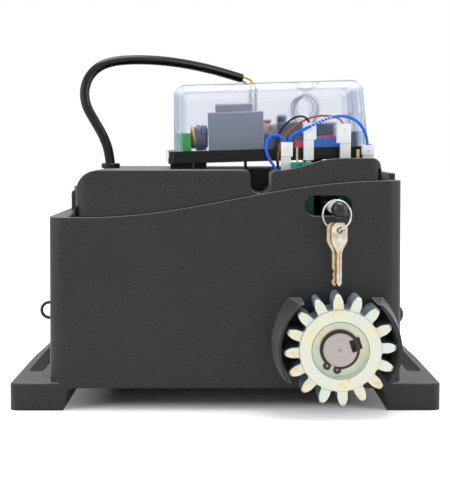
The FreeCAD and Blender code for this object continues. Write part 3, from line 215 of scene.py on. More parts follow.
def ripple(tree, shader, height, strength, depth=0.0002, over=None):
    """Shallow unevenness of the skin, over the plain normal or a rounded one."""
    node = tree.nodes.new("ShaderNodeBump")
    node.inputs["Strength"].default_value = strength
    node.inputs["Distance"].default_value = depth
    tree.links.new(height, node.inputs["Height"])
    if over:
        tree.links.new(over, node.inputs["Normal"])
    tree.links.new(node.outputs["Normal"], shader.inputs["Normal"])


def moulded_black(name, dark, light, roughness):
    """Black plastic with an eroded grain: specks in colour and skin, and a painted highlight on
    upward-facing rims.
    """
    finish = bpy.data.materials.new(name)
    finish.use_nodes = True
    tree = finish.node_tree
    shader = tree.nodes["Principled BSDF"]
    shader.inputs["Specular IOR Level"].default_value = 0.36
    shader.inputs["Sheen Weight"].default_value = 0.3
    shader.inputs["Sheen Roughness"].default_value = 0.3
    place = tree.nodes.new("ShaderNodeTexCoord").outputs["Object"]
    speck = noise(tree, place, 900.0, 2.0, 0.8)
    shade = tree.nodes.new("ShaderNodeMix")
    shade.data_type = "RGBA"
    shade.blend_type = "MULTIPLY"
    shade.inputs["Factor"].default_value = 0.35
    tree.links.new(toned(tree, speck, (0.38, dark), (0.68, light)), shade.inputs["A"])
    tree.links.new(noise(tree, place, 26.0, 3.0), shade.inputs["B"])
    rim = rounded_rim(tree, 0.0014, 6)
    off_flat = tree.nodes.new("ShaderNodeVectorMath")
    off_flat.operation = "DOT_PRODUCT"
    tree.links.new(rim, off_flat.inputs[0])
    tree.links.new(tree.nodes.new("ShaderNodeNewGeometry").outputs["True Normal"],
                   off_flat.inputs[1])
    on_rim = ranged(tree, off_flat.outputs["Value"], 0.0, 1.0, 0.99, 0.80)
    painted_highlight_facing_up = ranged(tree, split(tree, rim)["Z"], 0.0, 0.9, 0.25, 0.85)
    # rims that face up are blended to pale grey: a painted highlight of the overhead lamp on the
    # rounded rims
    tone = blended(tree, maths(tree, "MULTIPLY", on_rim, painted_highlight_facing_up), shade.outputs["Result"],
                   (0.58, 0.58, 0.60))
    tree.links.new(tone, shader.inputs["Base Color"])
    tree.links.new(ranged(tree, speck, roughness - 0.08, roughness + 0.10),
                   shader.inputs["Roughness"])
    ripple(tree, shader, speck, 0.3, over=rim)
    return finish


def dress(finish, *names):
    """Gives shown CAD nodes one finish."""
    for name in names:
        nodes[name].data.materials.clear()
        nodes[name].data.materials.append(finish)


housing_black = moulded_black("housing_black", (0.015, 0.015, 0.0155), (0.036, 0.036, 0.037), 0.46)
dress(housing_black, "base_housing", "deck_housing")


# ---------------------------------------------------------------- plain mouldings on the housing
# The plug, capacitor, tray and switch parts are smooth injection mouldings straight from a
# polished tool, with a faint unevenness in their gloss.
def moulded(name, colour, roughness, depth=0.15, scale=420.0, spread=0.12, sheen=0.5):
    """Smooth plastic: slight changes of tone and gloss, and shallow ripples in its skin."""
    finish = bpy.data.materials.new(name)
    finish.use_nodes = True
    tree = finish.node_tree
    shader = tree.nodes["Principled BSDF"]
    shader.inputs["Specular IOR Level"].default_value = sheen
    cloud = noise(tree, tree.nodes.new("ShaderNodeTexCoord").outputs["Object"], scale, 3.0)
    tone = toned(tree, cloud, (0.3, [c * (1 - spread) for c in colour]),
                 (0.7, [min(1.0, c * (1 + spread)) for c in colour]))
    tree.links.new(tone, shader.inputs["Base Color"])
    tree.links.new(ranged(tree, cloud, max(0.05, roughness - 0.04), roughness + 0.04),
                   shader.inputs["Roughness"])
    ripple(tree, shader, cloud, depth, over=rounded_rim(tree, 0.0005, 4))
    return finish


gloss_black = moulded("gloss_black", (0.006, 0.006, 0.007), 0.20, sheen=0.26)
dress(gloss_black, "side_plug", "run_capacitor", "tray_base", "tray_frame", "switch_block")
deck_support_black = moulded("deck_support_black", (0.005, 0.005, 0.006), 0.40, sheen=0.2)
dress(deck_support_black, "box_supports")
teal_plastic = moulded("teal_plastic", (0.0, 0.42, 0.31), 0.38)
dress(teal_plastic, "limit_block", "capacitor_clip")


# ---------------------------------------------------------------- gearbox and motor inside
# The gearbox is a teal-painted casting; through the release slot only its tower shows. Behind
# it sit a cast aluminium motor shell, its stacked core, windings, bearings and a bronze wheel.
def metal(name, colour, roughness, grain, stretch=(1.0, 1.0, 1.0), spread=0.15, depth=0.12,
          metallic=1.0):
    """Metal whose tone and gloss change along a grain that can be stretched one way."""
    finish = bpy.data.materials.new(name)
    finish.use_nodes = True
    tree = finish.node_tree
    shader = tree.nodes["Principled BSDF"]
    shader.inputs["Metallic"].default_value = metallic
    along = tree.nodes.new("ShaderNodeMapping")
    along.inputs["Scale"].default_value = stretch
    tree.links.new(tree.nodes.new("ShaderNodeTexCoord").outputs["Object"], along.inputs["Vector"])
    grind = noise(tree, along.outputs["Vector"], grain, 4.0)
    tone = toned(tree, grind, (0.3, [c * (1 - spread) for c in colour]),
                 (0.7, [min(1.0, c * (1 + spread)) for c in colour]))
    tree.links.new(tone, shader.inputs["Base Color"])
    tree.links.new(ranged(tree, grind, max(0.05, roughness - 0.08), roughness + 0.12),
                   shader.inputs["Roughness"])
    ripple(tree, shader, grind, depth)
    return finish


teal_paint = metal("teal_paint", (0.0, 0.36, 0.29), 0.42, 300.0, metallic=0.0)
dress(teal_paint, "gearbox_casing", "gearbox_caps")
dress(metal("cast_aluminium", (0.52, 0.52, 0.53), 0.42, 500.0, depth=0.3),
      "motor_shell", "motor_end_shield")
dress(metal("core_steel", (0.30, 0.30, 0.32), 0.45, 900.0, (6.0, 1.0, 1.0), depth=0.4),
      "stator_core", "rotor_core")
dress(metal("enamelled_copper", (0.62, 0.27, 0.10), 0.32, 700.0, (1.0, 4.0, 4.0)),
      "stator_windings")
dress(metal("bearing_steel", (0.60, 0.60, 0.62), 0.22, 800.0, (1.0, 6.0, 1.0)),
      "front_bearing", "rear_bearing", "worm_bearings", "motor_bearing")
dress(metal("bronze", (0.55, 0.34, 0.14), 0.32, 700.0, (1.0, 8.0, 1.0)), "worm_wheel")
dress(metal("ground_steel", (0.50, 0.48, 0.47), 0.28, 700.0, (12.0, 1.0, 1.0)), "worm_shaft")
seal_rubber = moulded("seal_rubber", (0.014, 0.014, 0.014), 0.55)
dress(seal_rubber, "shaft_seal", "wire_bush")


# ---------------------------------------------------------------- output shaft and its parts
# The shaft end is turned and centre-drilled, so fine rings run round its middle. The key and
# the retaining ring are dark phosphated spring steel, set in the shaft's groove and keyway.
shaft_low, shaft_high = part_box("output_shaft")
shaft_x = (shaft_low.x + shaft_high.x) / 2
shaft_z = (shaft_low.z + shaft_high.z) / 2
centre_drill_radius = 0.0006
rings_per_metre = 2400.0


def centred_on_shaft(tree):
    """Coordinates whose origin is on the shaft's axis."""
    centre = tree.nodes.new("ShaderNodeMapping")
    centre.inputs["Location"].default_value = (-shaft_x, -shaft_low.y, -shaft_z)
    tree.links.new(tree.nodes.new("ShaderNodeTexCoord").outputs["Object"], centre.inputs["Vector"])
    return centre.outputs["Vector"]


def distance_from_axis(tree, vector):
    """Distance of a point from the Y axis."""
    flat = tree.nodes.new("ShaderNodeVectorMath")
    flat.operation = "MULTIPLY"
    flat.inputs[1].default_value = (1.0, 0.0, 1.0)
    tree.links.new(vector, flat.inputs[0])
    length = tree.nodes.new("ShaderNodeVectorMath")
    length.operation = "LENGTH"
    tree.links.new(flat.outputs["Vector"], length.inputs[0])
    return length.outputs["Value"]


turned = bpy.data.materials.new("turned_steel")
turned.use_nodes = True
lathe = turned.node_tree
turned_shader = lathe.nodes["Principled BSDF"]
turned_shader.inputs["Metallic"].default_value = 0.85
turned_shader.inputs["Roughness"].default_value = 0.34
from_axis = distance_from_axis(lathe, centred_on_shaft(lathe))
ring_noise = lathe.nodes.new("ShaderNodeTexNoise")
ring_noise.noise_dimensions = "1D"
ring_noise.inputs["Scale"].default_value = 1.0
ring_noise.inputs["Detail"].default_value = 3.0
lathe.links.new(maths(lathe, "MULTIPLY", from_axis, rings_per_metre), ring_noise.inputs["W"])
ring_tone = toned(lathe, ring_noise.outputs["Fac"], (0.3, (0.30, 0.26, 0.24)),
                  (0.7, (0.62, 0.57, 0.54)))
# a dark dot in the middle of the shaft end: painted shade of the centre-drill hole
centre_hole_painted_shade = maths(lathe, "LESS_THAN", from_axis, centre_drill_radius)
lathe.links.new(blended(lathe, centre_hole_painted_shade, ring_tone, (0.10, 0.08, 0.06)),
                turned_shader.inputs["Base Color"])
ripple(lathe, turned_shader, ring_noise.outputs["Fac"], 0.25, depth=0.0001)
dress(turned, "output_shaft")
phosphated = metal("phosphated_steel", (0.055, 0.045, 0.040), 0.42, 900.0, spread=0.35,
                   metallic=0.6)
dress(phosphated, "retaining_ring", "shaft_key")
dress(metal("blackened_steel", (0.020, 0.020, 0.021), 0.5, 600.0, metallic=0.3), "release_shoe")


# ---------------------------------------------------------------- rack pinion
# A module 4 pinion, cut from bar and zinc plated: the faces keep a creamy yellow passivation
# with warm stains, and the tooth flanks and tips, wiped by the hob, are bluer bare steel.
below_teeth_radius = 0.026
recess_radius = 0.0184
recess_line = 0.00028
plated = bpy.data.materials.new("plated_pinion")
plated.use_nodes = True
bath = plated.node_tree
plated_shader = bath.nodes["Principled BSDF"]
plated_shader.inputs["Metallic"].default_value = 0.35
gear_place = centred_on_shaft(bath)
gear_reach = distance_from_axis(bath, gear_place)
stained_zinc = toned(bath, noise(bath, gear_place, 55.0, 5.0, 0.62), (0.28, (0.62, 0.50, 0.32)),
                     (0.42, (0.80, 0.76, 0.55)), (0.58, (0.70, 0.77, 0.68)))
hobbing = noise(bath, gear_place, 260.0, 4.0)
bare_flank = toned(bath, hobbing, (0.3, (0.16, 0.25, 0.30)), (0.7, (0.46, 0.56, 0.60)))
gear_way = split(bath, bath.nodes.new("ShaderNodeTexCoord").outputs["Normal"])
is_face = ranged(bath, maths(bath, "ABSOLUTE", gear_way["Y"]), 0.0, 1.0, 0.35, 0.75)
in_hub = maths(bath, "LESS_THAN", gear_reach, below_teeth_radius)
gear_tone = blended(bath, maths(bath, "MAXIMUM", is_face, in_hub), bare_flank, stained_zinc)
# a thin dark ring at the recess radius: painted shade along the step of the face recess
recess_rim_painted_shade = maths(bath, "COMPARE", gear_reach, recess_radius, recess_line)
bath.links.new(blended(bath, recess_rim_painted_shade, gear_tone, (0.16, 0.24, 0.24)),
               plated_shader.inputs["Base Color"])
bath.links.new(ranged(bath, hobbing, 0.26, 0.46), plated_shader.inputs["Roughness"])
ripple(bath, plated_shader, hobbing, 0.2)
dress(plated, "drive_pinion")


# ---------------------------------------------------------------- release rod
# A bright zinc-plated rod sticks out of its slot and ends in a pressed-on cap of black vinyl,
# dipped so that it is smooth and shiny.
dress(metal("bright_zinc", (0.84, 0.90, 0.87), 0.30, 500.0, (1.0, 0.2, 1.0), spread=0.10,
            metallic=0.0), "release_rod")
vinyl = moulded("dipped_vinyl", (0.010, 0.010, 0.012), 0.26, depth=0.05, sheen=0.45)
dress(vinyl, "rod_cap")


# ---------------------------------------------------------------- key ring and keys
# Two stamped brass keys, nickel plated, hang on a sprung wire ring. The plating has worn off
# the bitting and the edges, where the brass shows through.
blade_top = 0.1300
key_front = (0.326, -0.946, 0.0)
nickel = bpy.data.materials.new("worn_nickel")
nickel.use_nodes = True
keyed = nickel.node_tree
nickel_shader = keyed.nodes["Principled BSDF"]
nickel_shader.inputs["Metallic"].default_value = 0.9
key_place = keyed.nodes.new("ShaderNodeTexCoord").outputs
rubbed = noise(keyed, key_place["Object"], 240.0, 5.0)
nickel_tone = toned(keyed, rubbed, (0.30, (0.42, 0.36, 0.26)), (0.62, (0.74, 0.69, 0.58)))
key_facing = keyed.nodes.new("ShaderNodeVectorMath")
key_facing.operation = "DOT_PRODUCT"
key_facing.inputs[1].default_value = key_front
keyed.links.new(key_place["Normal"], key_facing.inputs[0])
key_edge = maths(keyed, "LESS_THAN", maths(keyed, "ABSOLUTE", key_facing.outputs["Value"]), 0.6)
on_blade = maths(keyed, "LESS_THAN", split(keyed, key_place["Object"])["Z"], blade_top)
worn_edge = maths(keyed, "MULTIPLY", key_edge, on_blade)
keyed.links.new(blended(keyed, worn_edge, nickel_tone, (0.72, 0.46, 0.12)),
                nickel_shader.inputs["Base Color"])
keyed.links.new(ranged(keyed, rubbed, 0.22, 0.42), nickel_shader.inputs["Roughness"])
dress(nickel, "front_key", "rear_key")
dress(metal("sprung_wire", (0.62, 0.60, 0.56), 0.2, 900.0), "key_ring")


# ---------------------------------------------------------------- circuit board and its parts
# The board is green glass laminate. On it stand a potted transformer with a stepped top, a
# terminal block, a wound choke, relays, a film capacitor, an electrolytic can and terminals.
def recolour(tree, share, colour):
    """Lays a second colour over a finish's own colour wherever the share is 1."""
    base = tree.nodes["Principled BSDF"].inputs["Base Color"]
    tree.links.new(blended(tree, share, base.links[0].from_socket, colour), base)


laminate = moulded("green_laminate", (0.02, 0.13, 0.06), 0.35, scale=900.0)
dress(laminate, "circuit_board")
dress(moulded("potting_case", (0.195, 0.215, 0.265), 0.42, scale=600.0, spread=0.05),
      "transformer")
dress(moulded("terminal_green", (0.008, 0.40, 0.06), 0.4, scale=300.0), "green_terminal")
dress(moulded("relay_blue", (0.055, 0.085, 0.16), 0.28, scale=200.0), "relays",
      "electrolytic")
dress(moulded("film_beige", (0.62, 0.56, 0.48), 0.4, scale=300.0), "film_capacitor")
dress(moulded("terminal_blue", (0.005, 0.13, 0.56), 0.35, scale=300.0), "screw_terminals")
green_cap_x = 0.0643
green_cap_half = 0.0021
cap_red = moulded("cap_red", (0.66, 0.03, 0.08), 0.35, scale=300.0)
dress(cap_red, "terminal_caps")
caps = cap_red.node_tree
caps_place = split(caps, caps.nodes.new("ShaderNodeTexCoord").outputs["Object"])
recolour(caps, maths(caps, "COMPARE", caps_place["X"], green_cap_x, green_cap_half),
         (0.02, 0.45, 0.16))
stamped_brass = metal("stamped_brass", (0.62, 0.50, 0.24), 0.3, 800.0)
dress(stamped_brass, "aerial_post", "brass_tabs")


# ---------------------------------------------------------------- parts on the film capacitor
# A copper-faced disc is clipped to the front of the film capacitor, and a small brown varistor
# lies across its top; both are dipped parts with rounded rims.
film_low, film_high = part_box("film_capacitor")


def rounded_block(name, low, high, rim, finish):
    """Block between two corners with its edges rounded."""
    shell = bmesh.new()
    bmesh.ops.create_cube(shell, size=1.0)
    for corner in shell.verts:
        corner.co = [low[k] if corner.co[k] < 0 else high[k] for k in range(3)]
    bmesh.ops.bevel(shell, geom=list(shell.edges), offset=rim, segments=3, affect="EDGES")
    mesh = bpy.data.meshes.new(name)
    shell.to_mesh(mesh)
    shell.free()
    mesh.materials.append(finish)
    block = bpy.data.objects.new(name, mesh)
    scene.collection.objects.link(block)
    return block


varistor_low = film_low.x + 0.0004, film_low.y + 0.0008, film_high.z - 0.0001
varistor_high = film_low.x + 0.0056, film_low.y + 0.0060, film_high.z + 0.0026
varistor = rounded_block("varistor", varistor_low, varistor_high, 0.0005,
                         moulded("varistor_brown", (0.36, 0.13, 0.09), 0.4, scale=300.0))
fuse_shell = bmesh.new()
bmesh.ops.create_cone(fuse_shell, cap_ends=True, segments=32, radius1=0.0017, radius2=0.0017,
                      depth=0.0010)
bmesh.ops.bevel(fuse_shell, geom=[e for e in fuse_shell.edges if e.calc_face_angle(0) > 1],
                offset=0.0003, segments=3, affect="EDGES")
fuse_shell.transform(Matrix.Translation(((film_low.x + film_high.x) / 2 + 0.0002,
                                         film_low.y - 0.0003, film_high.z - 0.0034))
                     @ Matrix.Rotation(math.pi / 2, 4, "X"))
fuse_mesh = bpy.data.meshes.new("fuse_disc")
fuse_shell.to_mesh(fuse_mesh)
fuse_shell.free()
fuse_mesh.materials.append(metal("fuse_copper", (0.52, 0.22, 0.13), 0.4, 700.0, metallic=0.5))
fuse_disc = bpy.data.objects.new("fuse_disc", fuse_mesh)
scene.collection.objects.link(fuse_disc)
for fitting in (varistor, fuse_disc):
    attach(fitting, "housing")


# ---------------------------------------------------------------- wound choke
# A ferrite core stands on its rim with two windings side by side: a few turns of orange
# enamelled wire and then many of blue-grey. Each turn is a closed loop of wire.
choke_low, choke_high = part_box("choke")
choke_radius = (choke_high.z - choke_low.z) / 2
choke_y = (choke_low.y + choke_high.y) / 2
choke_z = (choke_low.z + choke_high.z) / 2


def winding(name, x0, x1, turns, radius, wire, lean, stray, finish):
    """Rings of wire side by side along X, made as instances and then turned into one mesh."""
    tree = bpy.data.node_groups.new(name + "_tree", "GeometryNodeTree")
    tree.interface.new_socket("Geometry", in_out="OUTPUT", socket_type="NodeSocketGeometry")
    settings = []
    for label, kind, value in (("Turns", "NodeSocketInt", turns),
                               ("Radius", "NodeSocketFloat", radius),
                               ("Wire", "NodeSocketFloat", wire),
                               ("Lean", "NodeSocketFloat", lean),
                               ("Stray", "NodeSocketFloat", stray),
                               ("Pitch", "NodeSocketFloat", (x1 - x0) / max(1, turns - 1))):
        socket = tree.interface.new_socket(label, in_out="INPUT", socket_type=kind)
        settings.append((socket.identifier, value))
    given = tree.nodes.new("NodeGroupInput")
    out = tree.nodes.new("NodeGroupOutput")
    loop = tree.nodes.new("GeometryNodeCurvePrimitiveCircle")
    loop.inputs["Resolution"].default_value = 40
    tree.links.new(given.outputs["Radius"], loop.inputs["Radius"])
    section = tree.nodes.new("GeometryNodeCurvePrimitiveCircle")
    section.inputs["Resolution"].default_value = 8
    tree.links.new(given.outputs["Wire"], section.inputs["Radius"])
    tube = tree.nodes.new("GeometryNodeCurveToMesh")
    tree.links.new(loop.outputs["Curve"], tube.inputs["Curve"])
    tree.links.new(section.outputs["Curve"], tube.inputs["Profile Curve"])
    upright = tree.nodes.new("GeometryNodeTransform")
    upright.inputs["Rotation"].default_value = (0.0, math.pi / 2, 0.0)
    tree.links.new(tube.outputs["Mesh"], upright.inputs["Geometry"])
    step = tree.nodes.new("ShaderNodeCombineXYZ")
    tree.links.new(given.outputs["Pitch"], step.inputs["X"])
    row = tree.nodes.new("GeometryNodeMeshLine")
    tree.links.new(given.outputs["Turns"], row.inputs["Count"])
    tree.links.new(step.outputs["Vector"], row.inputs["Offset"])
    wobble = tree.nodes.new("FunctionNodeRandomValue")
    wobble.data_type = "FLOAT"
    wobble.inputs["Min"].default_value = 0.94
    wobble.inputs["Max"].default_value = 1.0
    wobble.inputs["Seed"].default_value = 5
    spread = tree.nodes.new("GeometryNodeInstanceOnPoints")
    tree.links.new(row.outputs["Mesh"], spread.inputs["Points"])
    tree.links.new(upright.outputs["Geometry"], spread.inputs["Instance"])
    size = tree.nodes.new("ShaderNodeCombineXYZ")
    size.inputs["X"].default_value = 1.0
    tree.links.new(wobble.outputs["Value"], size.inputs["Y"])
    tree.links.new(wobble.outputs["Value"], size.inputs["Z"])
    tree.links.new(size.outputs["Vector"], spread.inputs["Scale"])
    slope = tree.nodes.new("FunctionNodeRandomValue")
    slope.data_type = "FLOAT"
    slope.inputs["Seed"].default_value = 11
    lean_or_stray = given.outputs["Lean"], given.outputs["Stray"]
    tree.links.new(maths(tree, "SUBTRACT", *lean_or_stray), slope.inputs["Min"])
    tree.links.new(maths(tree, "ADD", *lean_or_stray), slope.inputs["Max"])
    turn = tree.nodes.new("ShaderNodeCombineXYZ")
    tree.links.new(slope.outputs["Value"], turn.inputs["Y"])
    tree.links.new(turn.outputs["Vector"], spread.inputs["Rotation"])
    real = tree.nodes.new("GeometryNodeRealizeInstances")
    tree.links.new(spread.outputs["Instances"], real.inputs["Geometry"])
    coat = tree.nodes.new("GeometryNodeSetMaterial")
    coat.inputs["Material"].default_value = finish
    tree.links.new(real.outputs["Geometry"], coat.inputs["Geometry"])
    tree.links.new(coat.outputs["Geometry"], out.inputs["Geometry"])
    seed_mesh = bpy.data.meshes.new(name + "_seed")
    holder = bpy.data.objects.new(name + "_seed", seed_mesh)
    scene.collection.objects.link(holder)
    modifier = holder.modifiers.new("turns", "NODES")
    modifier.node_group = tree
    for identifier, value in settings:
        modifier[identifier] = value
    evaluated = holder.evaluated_get(bpy.context.evaluated_depsgraph_get())
    mesh = bpy.data.meshes.new_from_object(evaluated)
    bpy.data.objects.remove(holder)
    mesh.name = name
    mesh.transform(Matrix.Translation((x0, choke_y, choke_z)))
    coil = bpy.data.objects.new(name, mesh)
    scene.collection.objects.link(coil)
    return coil


orange_enamel = metal("orange_enamel", (0.82, 0.32, 0.03), 0.3, 420.0, (5.0, 0.5, 0.5),
                      spread=0.45, metallic=0.0)
blue_enamel = metal("blue_enamel", (0.055, 0.085, 0.17), 0.24, 420.0, (5.0, 0.5, 0.5), spread=0.75,
                    metallic=0.0)
wire_gauge = 0.0005
orange_end = choke_low.x + 0.0034
orange_coil = winding("orange_winding", choke_low.x + 0.0024, orange_end - 0.0002, 3,
                      choke_radius - 0.0011, wire_gauge, -0.24, 0.02, orange_enamel)
blue_coil = winding("blue_winding", orange_end + 0.0009, choke_high.x - 0.0014, 15,
                    choke_radius - wire_gauge, 0.0004, 0.0, 0.07, blue_enamel)
core_mesh = bpy.data.meshes.new("choke_core")
core = bmesh.new()
bmesh.ops.create_cone(core, cap_ends=True, segments=48, radius1=choke_radius - 0.0016,
                      radius2=choke_radius - 0.0016, depth=choke_high.x - choke_low.x)
bmesh.ops.bevel(core, geom=[e for e in core.edges if e.calc_face_angle(0) > 1],
                offset=0.0008, segments=3, affect="EDGES")
core.transform(Matrix.Translation(((choke_low.x + choke_high.x) / 2, choke_y, choke_z))
               @ Matrix.Rotation(math.pi / 2, 4, "Y"))
core.to_mesh(core_mesh)
core.free()
choke_core = bpy.data.objects.new("choke_core", core_mesh)
scene.collection.objects.link(choke_core)
core_mesh.materials.append(moulded("ferrite", (0.05, 0.055, 0.07), 0.5))
for coil in (orange_coil, blue_coil, choke_core):
    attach(coil, "housing")
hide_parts("choke")


# ---------------------------------------------------------------- clear hood
# The hood over the board is one thin moulding in clear polycarbonate with a snap flange. Its
# front is almost invisible. The end walls and the roof get a painted blue-grey tint by the way
# they face, standing in for the line they show round the hood when seen along their thickness.
clear = bpy.data.materials.new("clear_polycarbonate")
clear.use_nodes = True
pane = clear.node_tree
clear_shader = pane.nodes["Principled BSDF"]
clear_shader.inputs["Transmission Weight"].default_value = 1.0
clear_shader.inputs["IOR"].default_value = 1.45
clear_place = pane.nodes.new("ShaderNodeTexCoord").outputs
haze = noise(pane, clear_place["Object"], 60.0, 2.0)
pane.links.new(ranged(pane, haze, 0.0, 0.06), clear_shader.inputs["Roughness"])
wall_way = split(pane, clear_place["Normal"])
end_or_roof = maths(pane, "MAXIMUM", maths(pane, "ABSOLUTE", wall_way["X"]), wall_way["Z"])
# end walls and roof take a painted blue-grey tint by their facing, standing in for the edge-on line
painted_edge_tint_share = ranged(pane, end_or_roof, 0.0, 1.0, 0.75, 0.97)
pane_tint = pane.nodes.new("ShaderNodeMix")
pane_tint.data_type = "RGBA"
pane_tint.inputs["A"].default_value = (0.91, 0.92, 0.95, 1.0)
pane_tint.inputs["B"].default_value = (0.62, 0.69, 0.78, 1.0)
pane.links.new(painted_edge_tint_share, pane_tint.inputs["Factor"])
let_through = pane.nodes.new("ShaderNodeBsdfTransparent")
pane.links.new(pane_tint.outputs["Result"], clear_shader.inputs["Base Color"])
pane.links.new(pane_tint.outputs["Result"], let_through.inputs["Color"])
# lamps shine straight through the hood, and so does a part of what is seen through it
plain_share = 0.52
lamp_path = pane.nodes.new("ShaderNodeLightPath").outputs
through_share = ranged(pane, lamp_path["Is Shadow Ray"], plain_share, 1.0)
pane_mix = pane.nodes.new("ShaderNodeMixShader")
pane.links.new(maths(pane, "MAXIMUM", through_share, painted_edge_tint_share), pane_mix.inputs[0])
pane.links.new(clear_shader.outputs[0], pane_mix.inputs[1])
pane.links.new(let_through.outputs[0], pane_mix.inputs[2])
pane.links.new(pane_mix.outputs[0], pane.nodes["Material Output"].inputs["Surface"])
dress(clear, "clear_cover")


# ---------------------------------------------------------------- connector housings
# Four unfilled nylon plug housings stand on the terminals behind the crest: milky white, with
# a small window in the front of each for its latch.
nylon = moulded("milky_nylon", (0.93, 0.965, 0.95), 0.32, scale=200.0, spread=0.03)
nylon_shader = nylon.node_tree.nodes["Principled BSDF"]
nylon_shader.inputs["Subsurface Weight"].default_value = 0.25
nylon_shader.inputs["Subsurface Radius"].default_value = (0.002, 0.002, 0.002)
dress(nylon, "spade_housing_1", "spade_housing_2", "spade_housing_3", "spade_housing_4")


# ---------------------------------------------------------------- mains cable and wires
# The mains cable rises out of a rubber grommet in the deck, loops over and ends above the
# hood, where its two stripped cores turn down behind it. Thin PVC wires join the plug housings.
grommet_rubber = moulded("grommet_rubber", (0.006, 0.006, 0.006), 0.32, sheen=0.3)
dress(grommet_rubber, "cable_grommet")


def sheathed(name, colour, roughness=0.34, sheen=0.4):
    """PVC sheath: an even colour with a faint print of the strands under it."""
    return moulded(name, colour, roughness, scale=350.0, depth=0.06, spread=0.06, sheen=sheen)


def wire(name, route, radius, finish, length, far_end, slot):
    """A free wire on a smooth spline through its route's control points."""
    line = bpy.data.curves.new(name, "CURVE")
    line.dimensions = "3D"
    line.bevel_depth = radius
    line.bevel_resolution = 6
    line.resolution_u = 12
    line.use_fill_caps = True
    run = line.splines.new("NURBS")
    run.points.add(len(route) - 1)
    for control, place in zip(run.points, route):
        control.co = (*place, 1.0)
    run.order_u = 3
    run.use_endpoint_u = True
    line.materials.append(finish)
    lead = bpy.data.objects.new(name, line)
    scene.collection.objects.link(lead)
    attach(lead, "housing")
    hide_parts(slot[0])
    return lead


hood_roof = 0.2215
stripped_grey = (0.22, 0.28, 0.38)
black_sheath = sheathed("black_sheath", (0.004, 0.004, 0.005), 0.22, 0.3)
yellow_sheath = sheathed("yellow_sheath", (0.95, 0.62, 0.01))
sleeve = yellow_sheath.node_tree
sleeve_place = split(sleeve, sleeve.nodes.new("ShaderNodeTexCoord").outputs["Object"])
recolour(sleeve, maths(sleeve, "LESS_THAN", sleeve_place["Z"], hood_roof), stripped_grey)
grey_sheath = sheathed("grey_sheath", stripped_grey)
brown_sheath = sheathed("brown_sheath", (0.36, 0.105, 0.025), 0.3)
blue_sheath = sheathed("blue_sheath", (0.0, 0.13, 0.80), 0.26, 0.35)

wire("mains_lead", [
    (-0.0828, 0.0040, 0.1590), (-0.0836, 0.0040, 0.1710), (-0.0878, 0.0040, 0.1830),
    (-0.0944, 0.0046, 0.1942), (-0.1004, 0.0056, 0.2046), (-0.1022, 0.0074, 0.2154),
    (-0.0992, 0.0100, 0.2260), (-0.0919, 0.0140, 0.2340), (-0.0814, 0.0190, 0.2380),
    (-0.0680, 0.0260, 0.2396), (-0.0520, 0.0340, 0.2398), (-0.0350, 0.0430, 0.2386),
    (-0.0180, 0.0520, 0.2360), (-0.0020, 0.0610, 0.2326), (0.0130, 0.0680, 0.2284),
], 0.0035, black_sheath, 0.2028, "object", ("mains_cable", "cable_black"))
wire("earth_lead", [
    (0.0130, 0.0682, 0.2296), (0.0170, 0.0696, 0.2290), (0.0210, 0.0710, 0.2266),
    (0.0234, 0.0722, 0.2216), (0.0242, 0.0728, 0.2134), (0.0240, 0.0728, 0.2030),
    (0.0236, 0.0726, 0.1930), (0.0234, 0.0716, 0.1844), (0.0232, 0.0696, 0.1766),
    (0.0232, 0.0662, 0.1704),
], 0.0009, yellow_sheath, 0.0670, "object", ("earth_wire", "yellow_pvc"))
wire("core_lead", [
    (0.0126, 0.0690, 0.2268), (0.0158, 0.0710, 0.2256), (0.0182, 0.0730, 0.2224),
    (0.0196, 0.0742, 0.2170), (0.0204, 0.0742, 0.2090), (0.0206, 0.0740, 0.1990),
    (0.0206, 0.0736, 0.1894), (0.0204, 0.0720, 0.1810), (0.0202, 0.0696, 0.1746),
    (0.0202, 0.0662, 0.1698),
], 0.0008, grey_sheath, 0.0628, "object", ("core_wire", "grey_pvc"))
wire("black_lead", [
    (0.0570, -0.0555, 0.1900), (0.0556, -0.0550, 0.1942), (0.0514, -0.0540, 0.1962),
    (0.0464, -0.0530, 0.1950), (0.0414, -0.0525, 0.1914), (0.0372, -0.0525, 0.1860),
    (0.0346, -0.0530, 0.1796), (0.0340, -0.0535, 0.1724), (0.0350, -0.0540, 0.1646),
    (0.0366, -0.0545, 0.1566), (0.0370, -0.0550, 0.1494),
], 0.0007, black_sheath, 0.0643, "object", ("black_wire", "cable_black"))
wire("brown_lead", [
    (0.0796, -0.0555, 0.1894), (0.0784, -0.0540, 0.1932), (0.0740, -0.0510, 0.1958),
    (0.0670, -0.0485, 0.1966), (0.0600, -0.0475, 0.1958), (0.0530, -0.0470, 0.1932),
    (0.0466, -0.0470, 0.1890), (0.0414, -0.0475, 0.1840), (0.0376, -0.0484, 0.1776),
    (0.0360, -0.0494, 0.1700), (0.0360, -0.0504, 0.1616), (0.0370, -0.0514, 0.1546),
    (0.0376, -0.0518, 0.1486),
], 0.00075, brown_sheath, 0.0836, "object", ("brown_wire", "brown_pvc"))
wire("short_blue_lead", [
    (0.0409, -0.0560, 0.1721), (0.0406, -0.0564, 0.1772), (0.0384, -0.0570, 0.1816),
    (0.0340, -0.0578, 0.1836), (0.0296, -0.0584, 0.1822), (0.0273, -0.0588, 0.1780),
    (0.0274, -0.0590, 0.1726), (0.0292, -0.0590, 0.1674), (0.0324, -0.0588, 0.1630),
    (0.0353, -0.0588, 0.1582), (0.0366, -0.0588, 0.1534), (0.0368, -0.0588, 0.1486),
], 0.0010, blue_sheath, 0.0553, "object", ("blue_wire_short", "blue_pvc"))
printed_sheath = sheathed("printed_sheath", (0.0, 0.13, 0.80), 0.26, 0.35)
print_middle_x = 0.0640
print_half_length = 0.0075
printing = printed_sheath.node_tree
print_place = printing.nodes.new("ShaderNodeTexCoord").outputs["Object"]
print_marks = printing.nodes.new("ShaderNodeTexWave")
